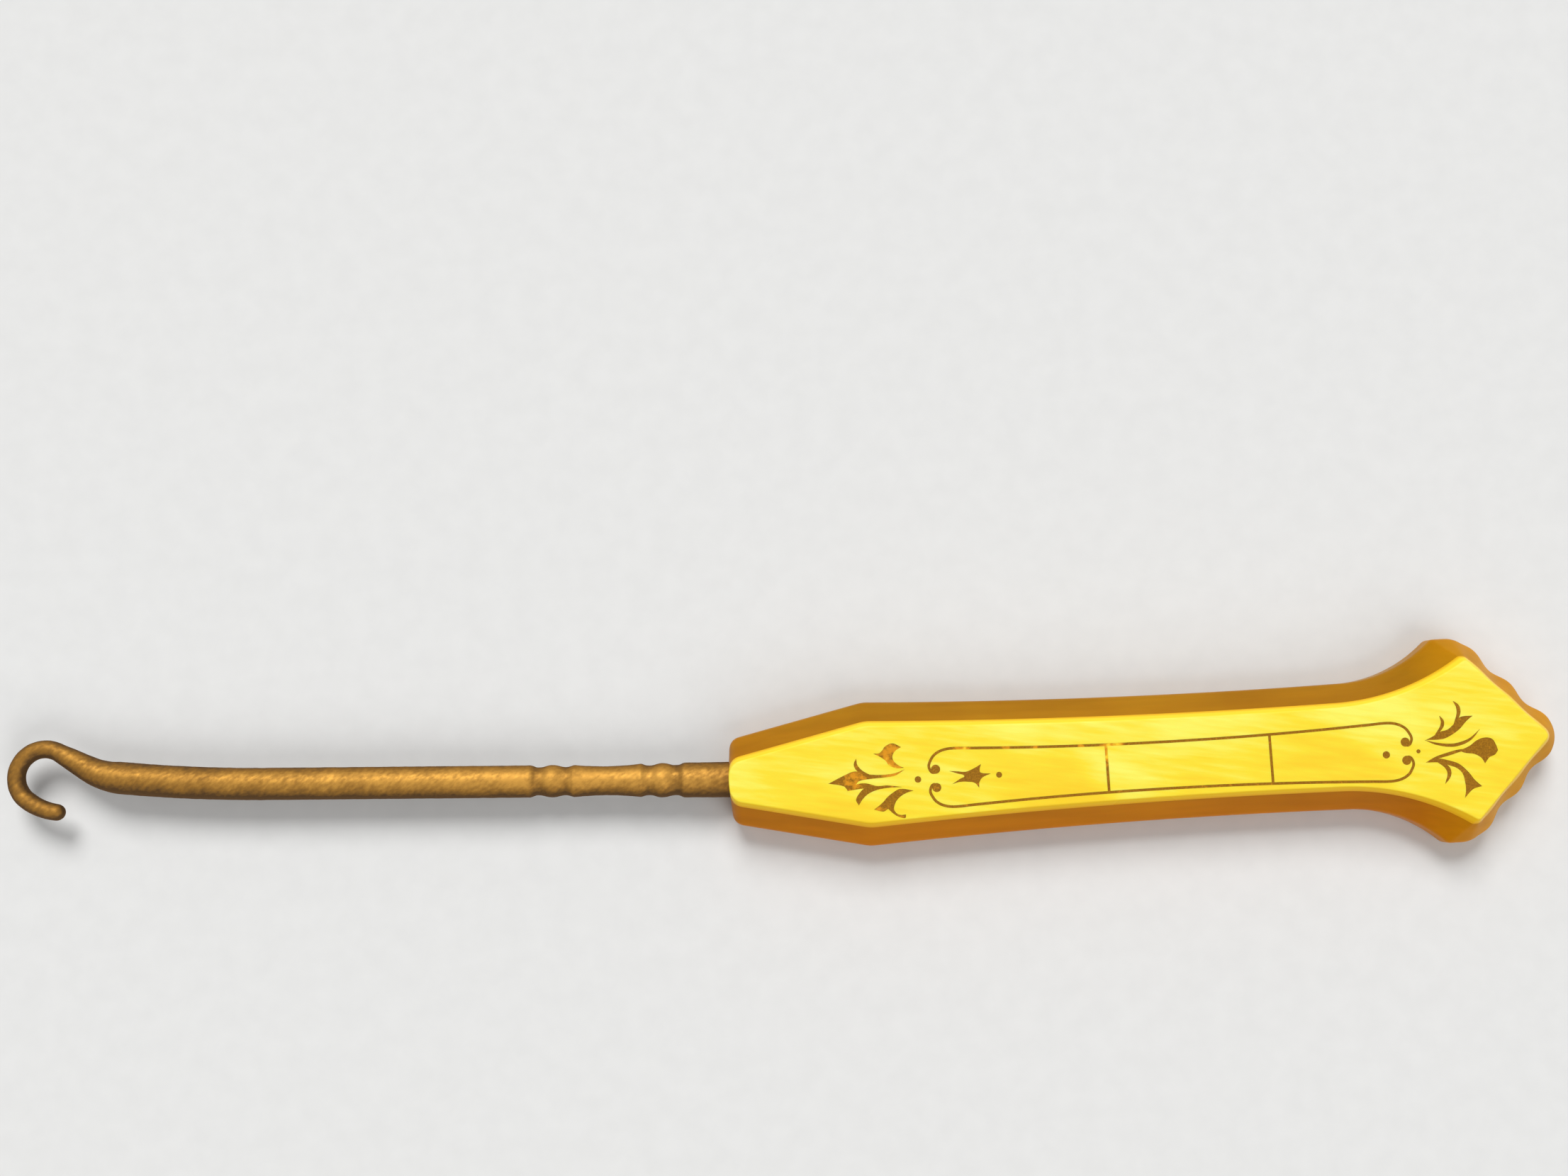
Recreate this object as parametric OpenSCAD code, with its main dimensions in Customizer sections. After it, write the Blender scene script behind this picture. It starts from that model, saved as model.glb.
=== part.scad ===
// Button hook: a forged steel hook with a turned neck, set by its tang into a laminated dresser handle.
// The hook points along -X and the butt of the handle along +X.
// The handle lies on its flat back at z = 0, and the overall length is centred on x = 0.

/* [Handle outline] */
// Length of the handle from its square front end to the tip of the butt
handle_l = 101.6; // [90:0.1:120]
// Width of the square front end
front_w = 10.2; // [8:0.1:13]
// Width across the shoulder
shoulder_w = 17.6; // [16.5:0.1:22]
// Distance of the shoulder from the front end
shoulder_x = 16.8; // [12:0.1:25]
// Width of the grip at its waist
waist_w = 15.2; // [12:0.1:16.5]
// Distance of the waist from the tip of the butt
waist_from_tip = 40.6; // [35:0.1:48]
// Width across the flared butt
flare_w = 25; // [21:0.1:30]
// Radius of the sweep from the grip out to the flared butt
flare_r = 17.5; // [14:0.5:24]
// Length of the blunt flat on each corner of the butt
corner_flat = 2.8; // [2:0.1:6]
// Angle between the end edges of the butt and the long axis, in degrees
end_angle = 46; // [40:1:54]
// Number of scallops along each end edge
end_lobes = 3; // [2:1:5]
// Height of the scallops
lobe_h = 0.6; // [0.2:0.05:1.2]

/* [Handle section] */
// Thickness of the handle
handle_t = 8; // [7:0.1:10]
// Thickness of the pearl sheet laid on the amber body
pearl_t = 0.8; // [0.4:0.1:1.6]
// Height of the bevel below the face
bevel_h = 4; // [2.5:0.1:5]
// Plan width of the bevel along the sides
side_bevel = 2.95; // [2:0.05:3.6]
// Plan width of the bevel along the end edges
end_bevel = 2.1; // [1.2:0.05:3]
// Radius of the sweep on the face, inside the flare
face_flare_r = 31.5; // [24:0.5:38]
// Length of the flat on each corner of the face
face_corner_flat = 0.3; // [0.1:0.05:1]
// Size of the eased edge round the back
back_ease = 1; // [0.4:0.1:1.6]

/* [Softened corners] */
// Length eased off each side of the front corners
front_ease = 1.2; // [0.3:0.1:1.4]
// Length eased off each side of the shoulder
shoulder_ease = 0.7; // [0.3:0.1:1.5]
// Length eased off each side of the corners where the flare meets the blunt flats
corner_ease = 0.4; // [0.2:0.1:1]
// Length eased off each side of the corners where the blunt flats meet the end edges
butt_ease = 1.1; // [0.4:0.1:1.6]
// Length eased off each side of the tip of the butt
tip_ease = 2.4; // [1:0.1:3.5]
// Length eased off each side of the tip of the face
face_tip_ease = 0.7; // [0.3:0.1:1.5]

/* [Steel shank] */
// Length of steel that shows in front of the handle
hook_reach = 88.4; // [78:0.1:110]
// Diameter of the plain shank
shank_d = 4; // [3.2:0.05:4.6]
// Diameter of the collar where it enters the handle
collar_d = 4.4; // [3.9:0.05:5]
// Lean of the shank from the long axis of the handle, in degrees
shank_lean = 2.75; // [0:0.05:4]
// Distance inside the handle of the point that the shank leans about
lean_pivot = 6; // [0:0.5:12]
// Depth that the collar sits in the handle
socket_l = 1.5; // [0.8:0.1:3]
// Diameter of the tang inside the handle
tang_d = 3.2; // [2.2:0.1:3.6]
// Depth of the tang in the handle
tang_l = 38; // [24:1:55]
// Gap all round the tang and the collar, filled when the hot tang is pushed in
fit_gap = 0.05; // [0.02:0.01:0.1]
// Room left in front of the end of the tang
tang_end_gap = 0.3; // [0.1:0.05:0.8]

/* [Turned neck] */
// Length of the collar in front of the handle
collar_l = 5.9; // [4:0.1:8]
// Width of each turned groove
groove_w = 1.1; // [0.6:0.1:1.6]
// Depth of each turned groove
groove_depth = 0.27; // [0.15:0.01:0.4]
// Width of each turned bead
bead_w = 2.4; // [1.6:0.1:3.2]
// Length of the hollow barrel between the beads
barrel_l = 8.9; // [6:0.1:12]
// Depth of the barrel's waist
barrel_depth = 0.27; // [0.1:0.01:0.4]

/* [Hook bend] */
// Radius of the slow sweep at the end of the shank
sweep_r = 187; // [150:1:230]
// Turn of the slow sweep, in degrees
sweep_turn = 5.7; // [2:0.1:8]
// Radius of the bend that lifts the hook off the line of the shank
rise_r = 9.8; // [8:0.1:14]
// Turn of that bend, in degrees
rise_turn = 22.8; // [16:0.1:30]
// Straight run up to the loop
rise_l = 4.2; // [3:0.1:6]
// Radius of the loop, to the middle of the wire
loop_r = 3.45; // [3:0.05:4.2]
// Turn of the loop, in degrees
loop_turn = 172; // [160:1:185]
// Radius of the run out to the point
point_r = 7.9; // [6:0.1:10]
// Turn of the run out, in degrees
point_turn = 29; // [20:1:45]
// Diameter of the wire in the loop
wire_d = 2.35; // [1.8:0.05:2.6]
// Diameter of the wire at the blunt point
point_d = 2.1; // [1.5:0.05:2.3]

/* [Hidden] */

// Steps along each stretch of the outline and the wire
corner_steps = 4;
grip_steps = 12;
flare_steps = 16;
lobe_steps = 8;
tip_steps = 5;
bead_steps = 8;
barrel_steps = 12;
wire_sides = 24;
sweep_steps = 4;
rise_steps = 6;
run_steps = 3;
loop_steps = 30;
point_steps = 7;
cap_steps = 5;
// Last turn of the rounded point before its small flat, in degrees
cap_turn = 78;
// Overlap where two shapes of one piece join, and past a face that is cut
overlap = 1;
// Share of a short edge that an eased corner may take
ease_share = 0.45;
// Number of facets on the turned pieces
$fn = 64;

front_x = (hook_reach - handle_l) / 2;
edge_z = handle_t - bevel_h;
amber_t = handle_t - pearl_t;
shank_z = handle_t / 2;

// The end edges of the butt: the easing moves the tip back, so the sharp corner stands past the tip
end_len = flare_w / 2 / sin(end_angle);
tip_back = (tip_ease * cos(end_angle) - lobe_wave(tip_ease / end_len) * sin(end_angle)) / 2;
tip_x = handle_l + tip_back;
corner_x = tip_x - end_len * cos(end_angle);

// The grip is one long arc from the shoulder through the waist
waist_x = handle_l - waist_from_tip;
grip_rise = (shoulder_w - waist_w) / 2;
grip_r = (pow(waist_x - shoulder_x, 2) + pow(grip_rise, 2)) / (2 * grip_rise);
grip_c = [waist_x, waist_w / 2 + grip_r];

// The neck narrows evenly from the collar to the plain shank
neck_l = collar_l + 4 * groove_w + 2 * bead_w + barrel_l;
bead_a = collar_l + groove_w;
barrel_a = bead_a + bead_w + groove_w;
bead_b = barrel_a + barrel_l + groove_w;

// The bend starts where the far side of the loop then ends up at the reach
from_start = rise_end([0, 0, 0]);
loop_side = from_start + loop_r * [sin(from_start[2]), -cos(from_start[2]), 0];
loop_far = hook_reach - loop_r - wire_d / 2 + lean_pivot + loop_side[1] * sin(shank_lean);
bend_start = [loop_far / cos(shank_lean) - lean_pivot - loop_side[0], 0, 0];

// Height of the scallops at a share of the end edge
function lobe_wave(share) = lobe_h * (1 - cos(360 * end_lobes * share)) / 2;

function unit(v) = v / norm(v);

// Points of an arc, with the angle counted from straight towards the long axis
function arc(c, r, from, to, steps) =
    [for (i = [0:steps]) let (a = from + (to - from) * i / steps) c + r * [sin(a), -cos(a)]];

// Part of a softened corner from a to b round the sharp corner
function soft(a, corner, b, steps, last = 1) =
    [for (i = [0:steps]) let (t = last * i / steps) pow(1 - t, 2) * a + 2 * t * (1 - t) * corner + t * t * b];

// Centre of an arc of radius r that ends at a point and runs smoothly into the grip
function flare_centre(end, r, grip) =
    let (
        across = grip_c - end,
        d = norm(across),
        along = (r * r - pow(grip - r, 2) + d * d) / (2 * d),
        off = sqrt(r * r - along * along)
    )
    end + along * across / d + off * [-across[1], across[0]] / d;

// Half of the handle's outline, from the front end to the tip, drawn in from the widest outline
function half_outline(side, end, flat, r, lobes, tip) =
    let (
        front = [0, front_w / 2 - side],
        shoulder = [shoulder_x, shoulder_w / 2 - side],
        corner_b = [corner_x + (side * cos(end_angle) - end) / sin(end_angle), flare_w / 2 - side],
        corner_a = corner_b - [flat, 0],
        tip_corner = [tip_x - end / sin(end_angle), 0],
        taper = unit(shoulder - front),
        edge = unit(tip_corner - corner_b),
        edge_out = [-edge[1], edge[0]],
        edge_l = norm(tip_corner - corner_b),
        ease_a = min(corner_ease, ease_share * flat),
        ease_b = min(butt_ease, ease_share * flat),
        grip = grip_r + side,
        flare_c = flare_centre(corner_a, r, grip),
        turn_shoulder = asin((shoulder[0] - grip_c[0]) / grip),
        turn_grip = turn_shoulder + shoulder_ease / grip * 180 / PI,
        turn_join = atan2(flare_c[0] - grip_c[0], grip_c[1] - flare_c[1]),
        turn_flare = acos((flare_c[1] - corner_a[1]) / r) - ease_a / r * 180 / PI,
        grip_arc = arc(grip_c, grip, turn_grip, turn_join, grip_steps),
        flare_arc = arc(flare_c, r, turn_join, turn_flare, flare_steps),
        share_a = ease_b / edge_l,
        share_b = 1 - tip / edge_l,
        wave_steps = end_lobes * lobe_steps,
        wave = [for (i = [0:wave_steps])
            let (share = share_a + (share_b - share_a) * i / wave_steps)
            corner_b + edge * edge_l * share + edge_out * lobes * lobe_wave(share)],
        wave_end = wave[wave_steps]
    )
    concat(
        soft(front - [0, front_ease], front, front + taper * front_ease, corner_steps),
        soft(shoulder - taper * shoulder_ease, shoulder, grip_arc[0], corner_steps),
        [for (i = [1:grip_steps]) grip_arc[i]],
        [for (i = [1:flare_steps - 1]) flare_arc[i]],
        soft(flare_arc[flare_steps], corner_a, corner_a + [ease_a, 0], corner_steps),
        soft(corner_b - [ease_b, 0], corner_b, wave[0], corner_steps),
        [for (i = [1:wave_steps - 1]) wave[i]],
        soft(wave_end, tip_corner, [wave_end[0], -wave_end[1]], tip_steps, 0.5)
    );

// One level of the handle: the whole outline at a height
function level(half, z) =
    let (last = len(half) - 1)
    concat(
        [for (p = half) [p[0], p[1], z]],
        [for (i = [last - 1:-1:0]) [half[i][0], -half[i][1], z]]
    );

// Skin over a stack of levels, with both ends closed by strips from side to side
module loft(levels) {
    n = len(levels[0]);
    m = (n - 1) / 2;
    top = len(levels) - 1;
    sides = [for (j = [0:top - 1]) for (i = [0:n - 1])
        let (a = j * n + i, b = j * n + (i + 1) % n)
        each [[a, b, b + n], [a, b + n, a + n]]];
    strips = concat(
        [for (i = [0:m - 2]) each [[i, i + 1, n - 2 - i], [i, n - 2 - i, n - 1 - i]]],
        [[m - 1, m, m + 1]]
    );
    lid = [for (f = strips) [f[0] + top * n, f[1] + top * n, f[2] + top * n]];
    base = [for (f = strips) [f[2], f[1], f[0]]];
    polyhedron(points = [for (l = levels) each l], faces = concat(sides, lid, base));
}

// The whole handle before it is split into its two layers
module handle_form() {
    widest = half_outline(0, 0, corner_flat, flare_r, 1, tip_ease);
    back = half_outline(back_ease, back_ease, corner_flat, flare_r + back_ease, 1, tip_ease);
    face = half_outline(side_bevel, end_bevel, face_corner_flat, face_flare_r, 0, face_tip_ease);
    translate([front_x, 0, 0])
        loft([level(back, 0), level(widest, back_ease), level(widest, edge_z), level(face, handle_t)]);
}

// Block that holds everything above the joint between the two layers
module above_joint() {
    translate([front_x - overlap, -flare_w, amber_t])
        cube([handle_l + 2 * overlap, 2 * flare_w, handle_t]);
}

// Sets a shape that lies along +Z, from the handle's front end out, on the leaning line of the shank
module on_shank_line() {
    translate([front_x + lean_pivot, 0, shank_z])
        rotate([0, 0, -shank_lean])
            translate([-lean_pivot, 0, 0])
                rotate([0, -90, 0])
                    children();
}

// Radius of the tapering neck at a distance from the handle
function neck_r(u) = (collar_d + (shank_d - collar_d) * u / neck_l) / 2;

// Half profile of a turned bead
function bead(start) =
    [for (i = [0:bead_steps]) let (t = i / bead_steps, u = start + bead_w * t)
        [neck_r(u) - groove_depth * pow(2 * t - 1, 2), u]];

// Half profile of the hollow barrel
function barrel(start) =
    [for (i = [0:barrel_steps]) let (t = i / barrel_steps, u = start + barrel_l * t)
        [neck_r(u) - barrel_depth * (1 - pow(2 * t - 1, 2)), u]];

// Floor of the groove that starts at a distance from the handle
function groove(start) =
    [for (u = [start, start + groove_w]) [neck_r(u) - groove_depth, u]];

// The turned neck, its collar and the tang, as one profile round the shank's line
module turned_neck() {
    last = groove(neck_l - groove_w);
    rotate_extrude()
        polygon(concat(
            [[0, -tang_l], [tang_d / 2, -tang_l], [tang_d / 2, -socket_l]],
            [[collar_d / 2, -socket_l], [neck_r(0), 0], [neck_r(collar_l), collar_l]],
            groove(collar_l),
            bead(bead_a),
            groove(bead_a + bead_w),
            barrel(barrel_a),
            groove(barrel_a + barrel_l),
            bead(bead_b),
            [last[0], [last[1][0], neck_l + overlap], [0, neck_l + overlap]]
        ));
}

// Steps along the wire hold the place and the heading, as [along, across, heading]
function run(s, l) = s + l * [cos(s[2]), sin(s[2]), 0];
function turn(s, r, a) =
    let (side = sign(a) * r)
    s + [side * (sin(s[2] + a) - sin(s[2])), side * (cos(s[2]) - cos(s[2] + a)), a];
function rise_end(s) = run(turn(turn(s, sweep_r, sweep_turn), rise_r, rise_turn), rise_l);
function at(s, d) = [s[0], s[1], s[2], d];
function mix(a, b, t) = a + (b - a) * t;

// Stations along the plain shank and the hook, each with its diameter
function wire_stations() =
    let (
        swept = turn(bend_start, sweep_r, sweep_turn),
        risen = turn(swept, rise_r, rise_turn),
        top = run(risen, rise_l),
        round_end = turn(top, loop_r, -loop_turn),
        point = turn(round_end, point_r, -point_turn),
        rise_arc = rise_r * rise_turn * PI / 180,
        taper_l = rise_arc + rise_l
    )
    concat(
        [at([neck_l, 0, 0], shank_d)],
        [for (i = [0:sweep_steps]) at(turn(bend_start, sweep_r, sweep_turn * i / sweep_steps), shank_d)],
        [for (i = [1:rise_steps]) let (t = i / rise_steps)
            at(turn(swept, rise_r, rise_turn * t), mix(shank_d, wire_d, t * rise_arc / taper_l))],
        [for (i = [1:run_steps]) let (l = rise_l * i / run_steps)
            at(run(risen, l), mix(shank_d, wire_d, (rise_arc + l) / taper_l))],
        [for (i = [1:loop_steps]) at(turn(top, loop_r, -loop_turn * i / loop_steps), wire_d)],
        [for (i = [1:point_steps]) let (t = i / point_steps)
            at(turn(round_end, point_r, -point_turn * t), mix(wire_d, point_d, t))],
        [for (i = [1:cap_steps]) let (a = cap_turn * i / cap_steps)
            at(run(point, point_d / 2 * sin(a)), point_d * cos(a))]
    );

// The plain shank and the hook, drawn as one tapering round wire
module bent_wire() {
    stations = wire_stations();
    n = wire_sides;
    last = len(stations) - 1;
    points = [for (s = stations) for (i = [0:n - 1])
        let (a = 360 * i / n, r = s[3] / 2)
        [r * sin(a), s[1] + r * cos(a) * cos(s[2]), s[0] - r * cos(a) * sin(s[2])]];
    sides = [for (j = [0:last - 1]) for (i = [0:n - 1])
        let (a = j * n + i, b = j * n + (i + 1) % n)
        each [[a, b, b + n], [a, b + n, a + n]]];
    start_cap = [for (i = [1:n - 2]) [0, i + 1, i]];
    end_cap = [for (i = [1:n - 2]) [last * n, last * n + i, last * n + i + 1]];
    polyhedron(points = points, faces = concat(sides, start_cap, end_cap));
}

module steel_hook() {
    color([0.5, 0.38, 0.24])
        on_shank_line() {
            turned_neck();
            bent_wire();
        }
}

module amber_body() {
    color([0.72, 0.44, 0.08])
        difference() {
            handle_form();
            above_joint();
            on_shank_line() {
                translate([0, 0, -tang_l - tang_end_gap])
                    cylinder(h = tang_l + tang_end_gap, d = tang_d + 2 * fit_gap);
                translate([0, 0, -socket_l - fit_gap])
                    cylinder(h = socket_l + fit_gap + overlap, d = collar_d + 2 * fit_gap);
            }
        }
}

module pearl_face() {
    color([0.98, 0.84, 0.32])
        intersection() {
            handle_form();
            above_joint();
        }
}

steel_hook();
amber_body();
pearl_face();
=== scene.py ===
"""A dresser-set button hook: patinated steel, an amber handle and an engraved pearl face, in a studio."""

import logging
import math
from dataclasses import dataclass, field
from enum import Enum
from typing import Any

import bmesh
import bpy
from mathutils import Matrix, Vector
from mathutils.geometry import interpolate_bezier


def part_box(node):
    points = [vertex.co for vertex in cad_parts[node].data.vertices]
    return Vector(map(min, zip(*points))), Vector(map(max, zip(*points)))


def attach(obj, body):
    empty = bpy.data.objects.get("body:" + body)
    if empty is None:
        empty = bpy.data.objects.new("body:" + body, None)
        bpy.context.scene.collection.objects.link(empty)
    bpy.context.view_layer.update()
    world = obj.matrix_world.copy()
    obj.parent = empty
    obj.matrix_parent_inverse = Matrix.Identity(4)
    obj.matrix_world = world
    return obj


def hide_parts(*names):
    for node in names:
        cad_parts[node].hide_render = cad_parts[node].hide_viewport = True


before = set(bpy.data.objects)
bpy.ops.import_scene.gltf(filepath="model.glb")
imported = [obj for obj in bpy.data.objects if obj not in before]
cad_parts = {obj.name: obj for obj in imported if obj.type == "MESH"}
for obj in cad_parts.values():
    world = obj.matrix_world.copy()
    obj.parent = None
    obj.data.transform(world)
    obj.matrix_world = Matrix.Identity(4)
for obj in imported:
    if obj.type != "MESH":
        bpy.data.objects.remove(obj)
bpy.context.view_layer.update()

LOG = logging.getLogger("button_hook")
MM = 0.001
BODY = "root"

Point = tuple[float, float]
Span = tuple[float, float]
Place = tuple[float, float, float]
Colour = tuple[float, float, float]
Ring = list[Vector]


# Modelling

def evenly(start: float, end: float, steps: int) -> list[float]:
    """Returns values that run from a start to an end in equal steps."""
    return [start + (end - start) * i / steps for i in range(steps + 1)]


def clear_selection() -> None:
    """Leaves edit mode and deselects everything."""
    if bpy.context.object is not None and bpy.context.object.mode != "OBJECT":
        bpy.ops.object.mode_set(mode="OBJECT")
    bpy.ops.object.select_all(action="DESELECT")


def pick(*objects: bpy.types.Object) -> None:
    """Selects some objects alone and makes the first one active.

    Args:
        objects: The objects to select.
    """
    clear_selection()
    for obj in objects:
        obj.select_set(True)
    bpy.context.view_layer.objects.active = objects[0]


def apply_modifier(obj: bpy.types.Object, kind: str, **settings: Any) -> None:
    """Adds a modifier with these settings and applies it.

    Args:
        obj: The mesh that is changed.
        kind: The modifier's type.
        settings: Values for the modifier's own properties.
    """
    pick(obj)
    modifier = obj.modifiers.new(kind.lower(), kind)
    for name, value in settings.items():
        setattr(modifier, name, value)
    bpy.ops.object.modifier_apply(modifier=modifier.name)


class Carve(Enum):
    """What a tool does to a mesh: it cuts its own shape away, or trims the mesh to that shape."""

    CUT = "DIFFERENCE"
    TRIM = "INTERSECT"


def carve(obj: bpy.types.Object, tool: bpy.types.Object, how: Carve) -> None:
    """Cuts or trims a mesh by a tool, which stays as it is."""
    apply_modifier(obj, "BOOLEAN", object=tool, operation=how.value, solver="EXACT", use_self=True)


def joined(objects: list[bpy.types.Object], name: str) -> bpy.types.Object:
    """Joins several objects.

    Args:
        objects: The objects, which are used up.
        name: Name of the joined object.

    Returns:
        The joined object.
    """
    pick(*objects)
    bpy.ops.object.join()
    bpy.context.object.name = name
    return bpy.context.object


def remove(obj: bpy.types.Object) -> None:
    """Deletes an object that was only a tool."""
    pick(obj)
    bpy.ops.object.delete()


def new_ring(name: str, sides: int, **placed: Any) -> bpy.types.Object:
    """Adds a circle of edges with its place in its mesh, and opens it in edit mode.

    Args:
        name: Name of the new piece.
        sides: Number of points on the ring.
        placed: Radius, location and rotation for the circle.

    Returns:
        The new object, with the whole ring selected.
    """
    clear_selection()
    bpy.ops.mesh.primitive_circle_add(vertices=sides, **placed)
    obj = bpy.context.object
    obj.name = name
    bpy.ops.object.transform_apply(location=True, rotation=True, scale=True)
    bpy.ops.object.mode_set(mode="EDIT")
    bpy.ops.mesh.select_all(action="SELECT")
    return obj


def close_ends() -> None:
    """Fills the open ends of the mesh in edit mode, turns its faces outwards and leaves edit mode."""
    bpy.ops.mesh.select_all(action="SELECT")
    bpy.ops.mesh.fill_holes(sides=0)
    bpy.ops.mesh.select_all(action="SELECT")
    bpy.ops.mesh.normals_make_consistent(inside=False)
    bpy.ops.object.mode_set(mode="OBJECT")


def set_newest(obj: bpy.types.Object, ring: Ring) -> None:
    """Moves the ring that was made last.

    Args:
        obj: The mesh in edit mode.
        ring: The points that the ring moves to, in millimetres.
    """
    mesh = bmesh.from_edit_mesh(obj.data)
    mesh.verts.ensure_lookup_table()
    for vertex, point in zip(mesh.verts[-len(ring):], ring):
        vertex.co = point * MM
    bmesh.update_edit_mesh(obj.data)


def loft(name: str, rings: list[Ring]) -> bpy.types.Object:
    """Draws a closed skin through a stack of outlines, by extruding each one up to the next.

    Args:
        name: Name of the new piece.
        rings: Outlines with equal numbers of points, in millimetres, from the lowest up.

    Returns:
        The finished mesh object.
    """
    obj = new_ring(name, len(rings[0]), radius=MM)
    set_newest(obj, rings[0])
    for ring in rings[1:]:
        bpy.ops.mesh.extrude_region_move(TRANSFORM_OT_translate={"value": (0, 0, MM)})
        set_newest(obj, ring)
    close_ends()
    return obj


@dataclass(frozen=True)
class Station:
    """A round section of a swept piece: its centre in millimetres, its heading in plan and its radius."""

    place: Vector
    heading: float
    radius: float


def sweep(name: str, stations: list[Station], sides: int) -> bpy.types.Object:
    """Draws a round bar along a route, by extruding, turning and resizing one ring.

    Args:
        name: Name of the new piece.
        stations: Sections along the route.
        sides: Number of sides of the bar.

    Returns:
        The finished mesh object.
    """
    last = stations[0]
    obj = new_ring(name, sides, radius=last.radius * MM, location=last.place * MM,
                   rotation=(0, math.pi / 2, last.heading))
    for station in stations[1:]:
        centre = station.place * MM
        step = (station.place - last.place) * MM
        turn = last.heading - station.heading
        bpy.ops.mesh.extrude_region_move(TRANSFORM_OT_translate={"value": step})
        bpy.ops.transform.rotate(value=turn, orient_axis="Z", center_override=centre)
        bpy.ops.transform.resize(value=(station.radius / last.radius,) * 3, center_override=centre)
        last = station
    close_ends()
    return obj


def shade(obj: bpy.types.Object, crease: float) -> None:
    """Shades a mesh smooth, apart from edges that are sharper than an angle in degrees."""
    pick(obj)
    bpy.ops.object.shade_smooth_by_angle(angle=math.radians(crease))


def dress(obj: bpy.types.Object, material: bpy.types.Material, slot: str | None, *nodes: str) -> None:
    """Gives a finished piece its material and ties it to the model.

    Args:
        obj: The finished piece.
        material: Its only material.
        slot: The record's material slot, if the piece has one. It is not used.
        nodes: The model's nodes that the piece stands for.
    """
    obj.data.materials.clear()
    obj.data.materials.append(material)
    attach(obj, BODY)
    if nodes:
        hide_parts(*nodes)


# Finishes

# Levels of a noise between which a change runs, from the softest change to the sharpest
SOFT_NOISE: Span = (0.25, 0.75)
NOISE: Span = (0.3, 0.7)
SHARP_NOISE: Span = (0.35, 0.65)
CLEAR: Colour = (1.0, 1.0, 1.0)


class Blend(Enum):
    """How a second colour acts on a first one: it covers it, or tints it."""

    COVER = "MIX"
    TINT = "MULTIPLY"


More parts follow.
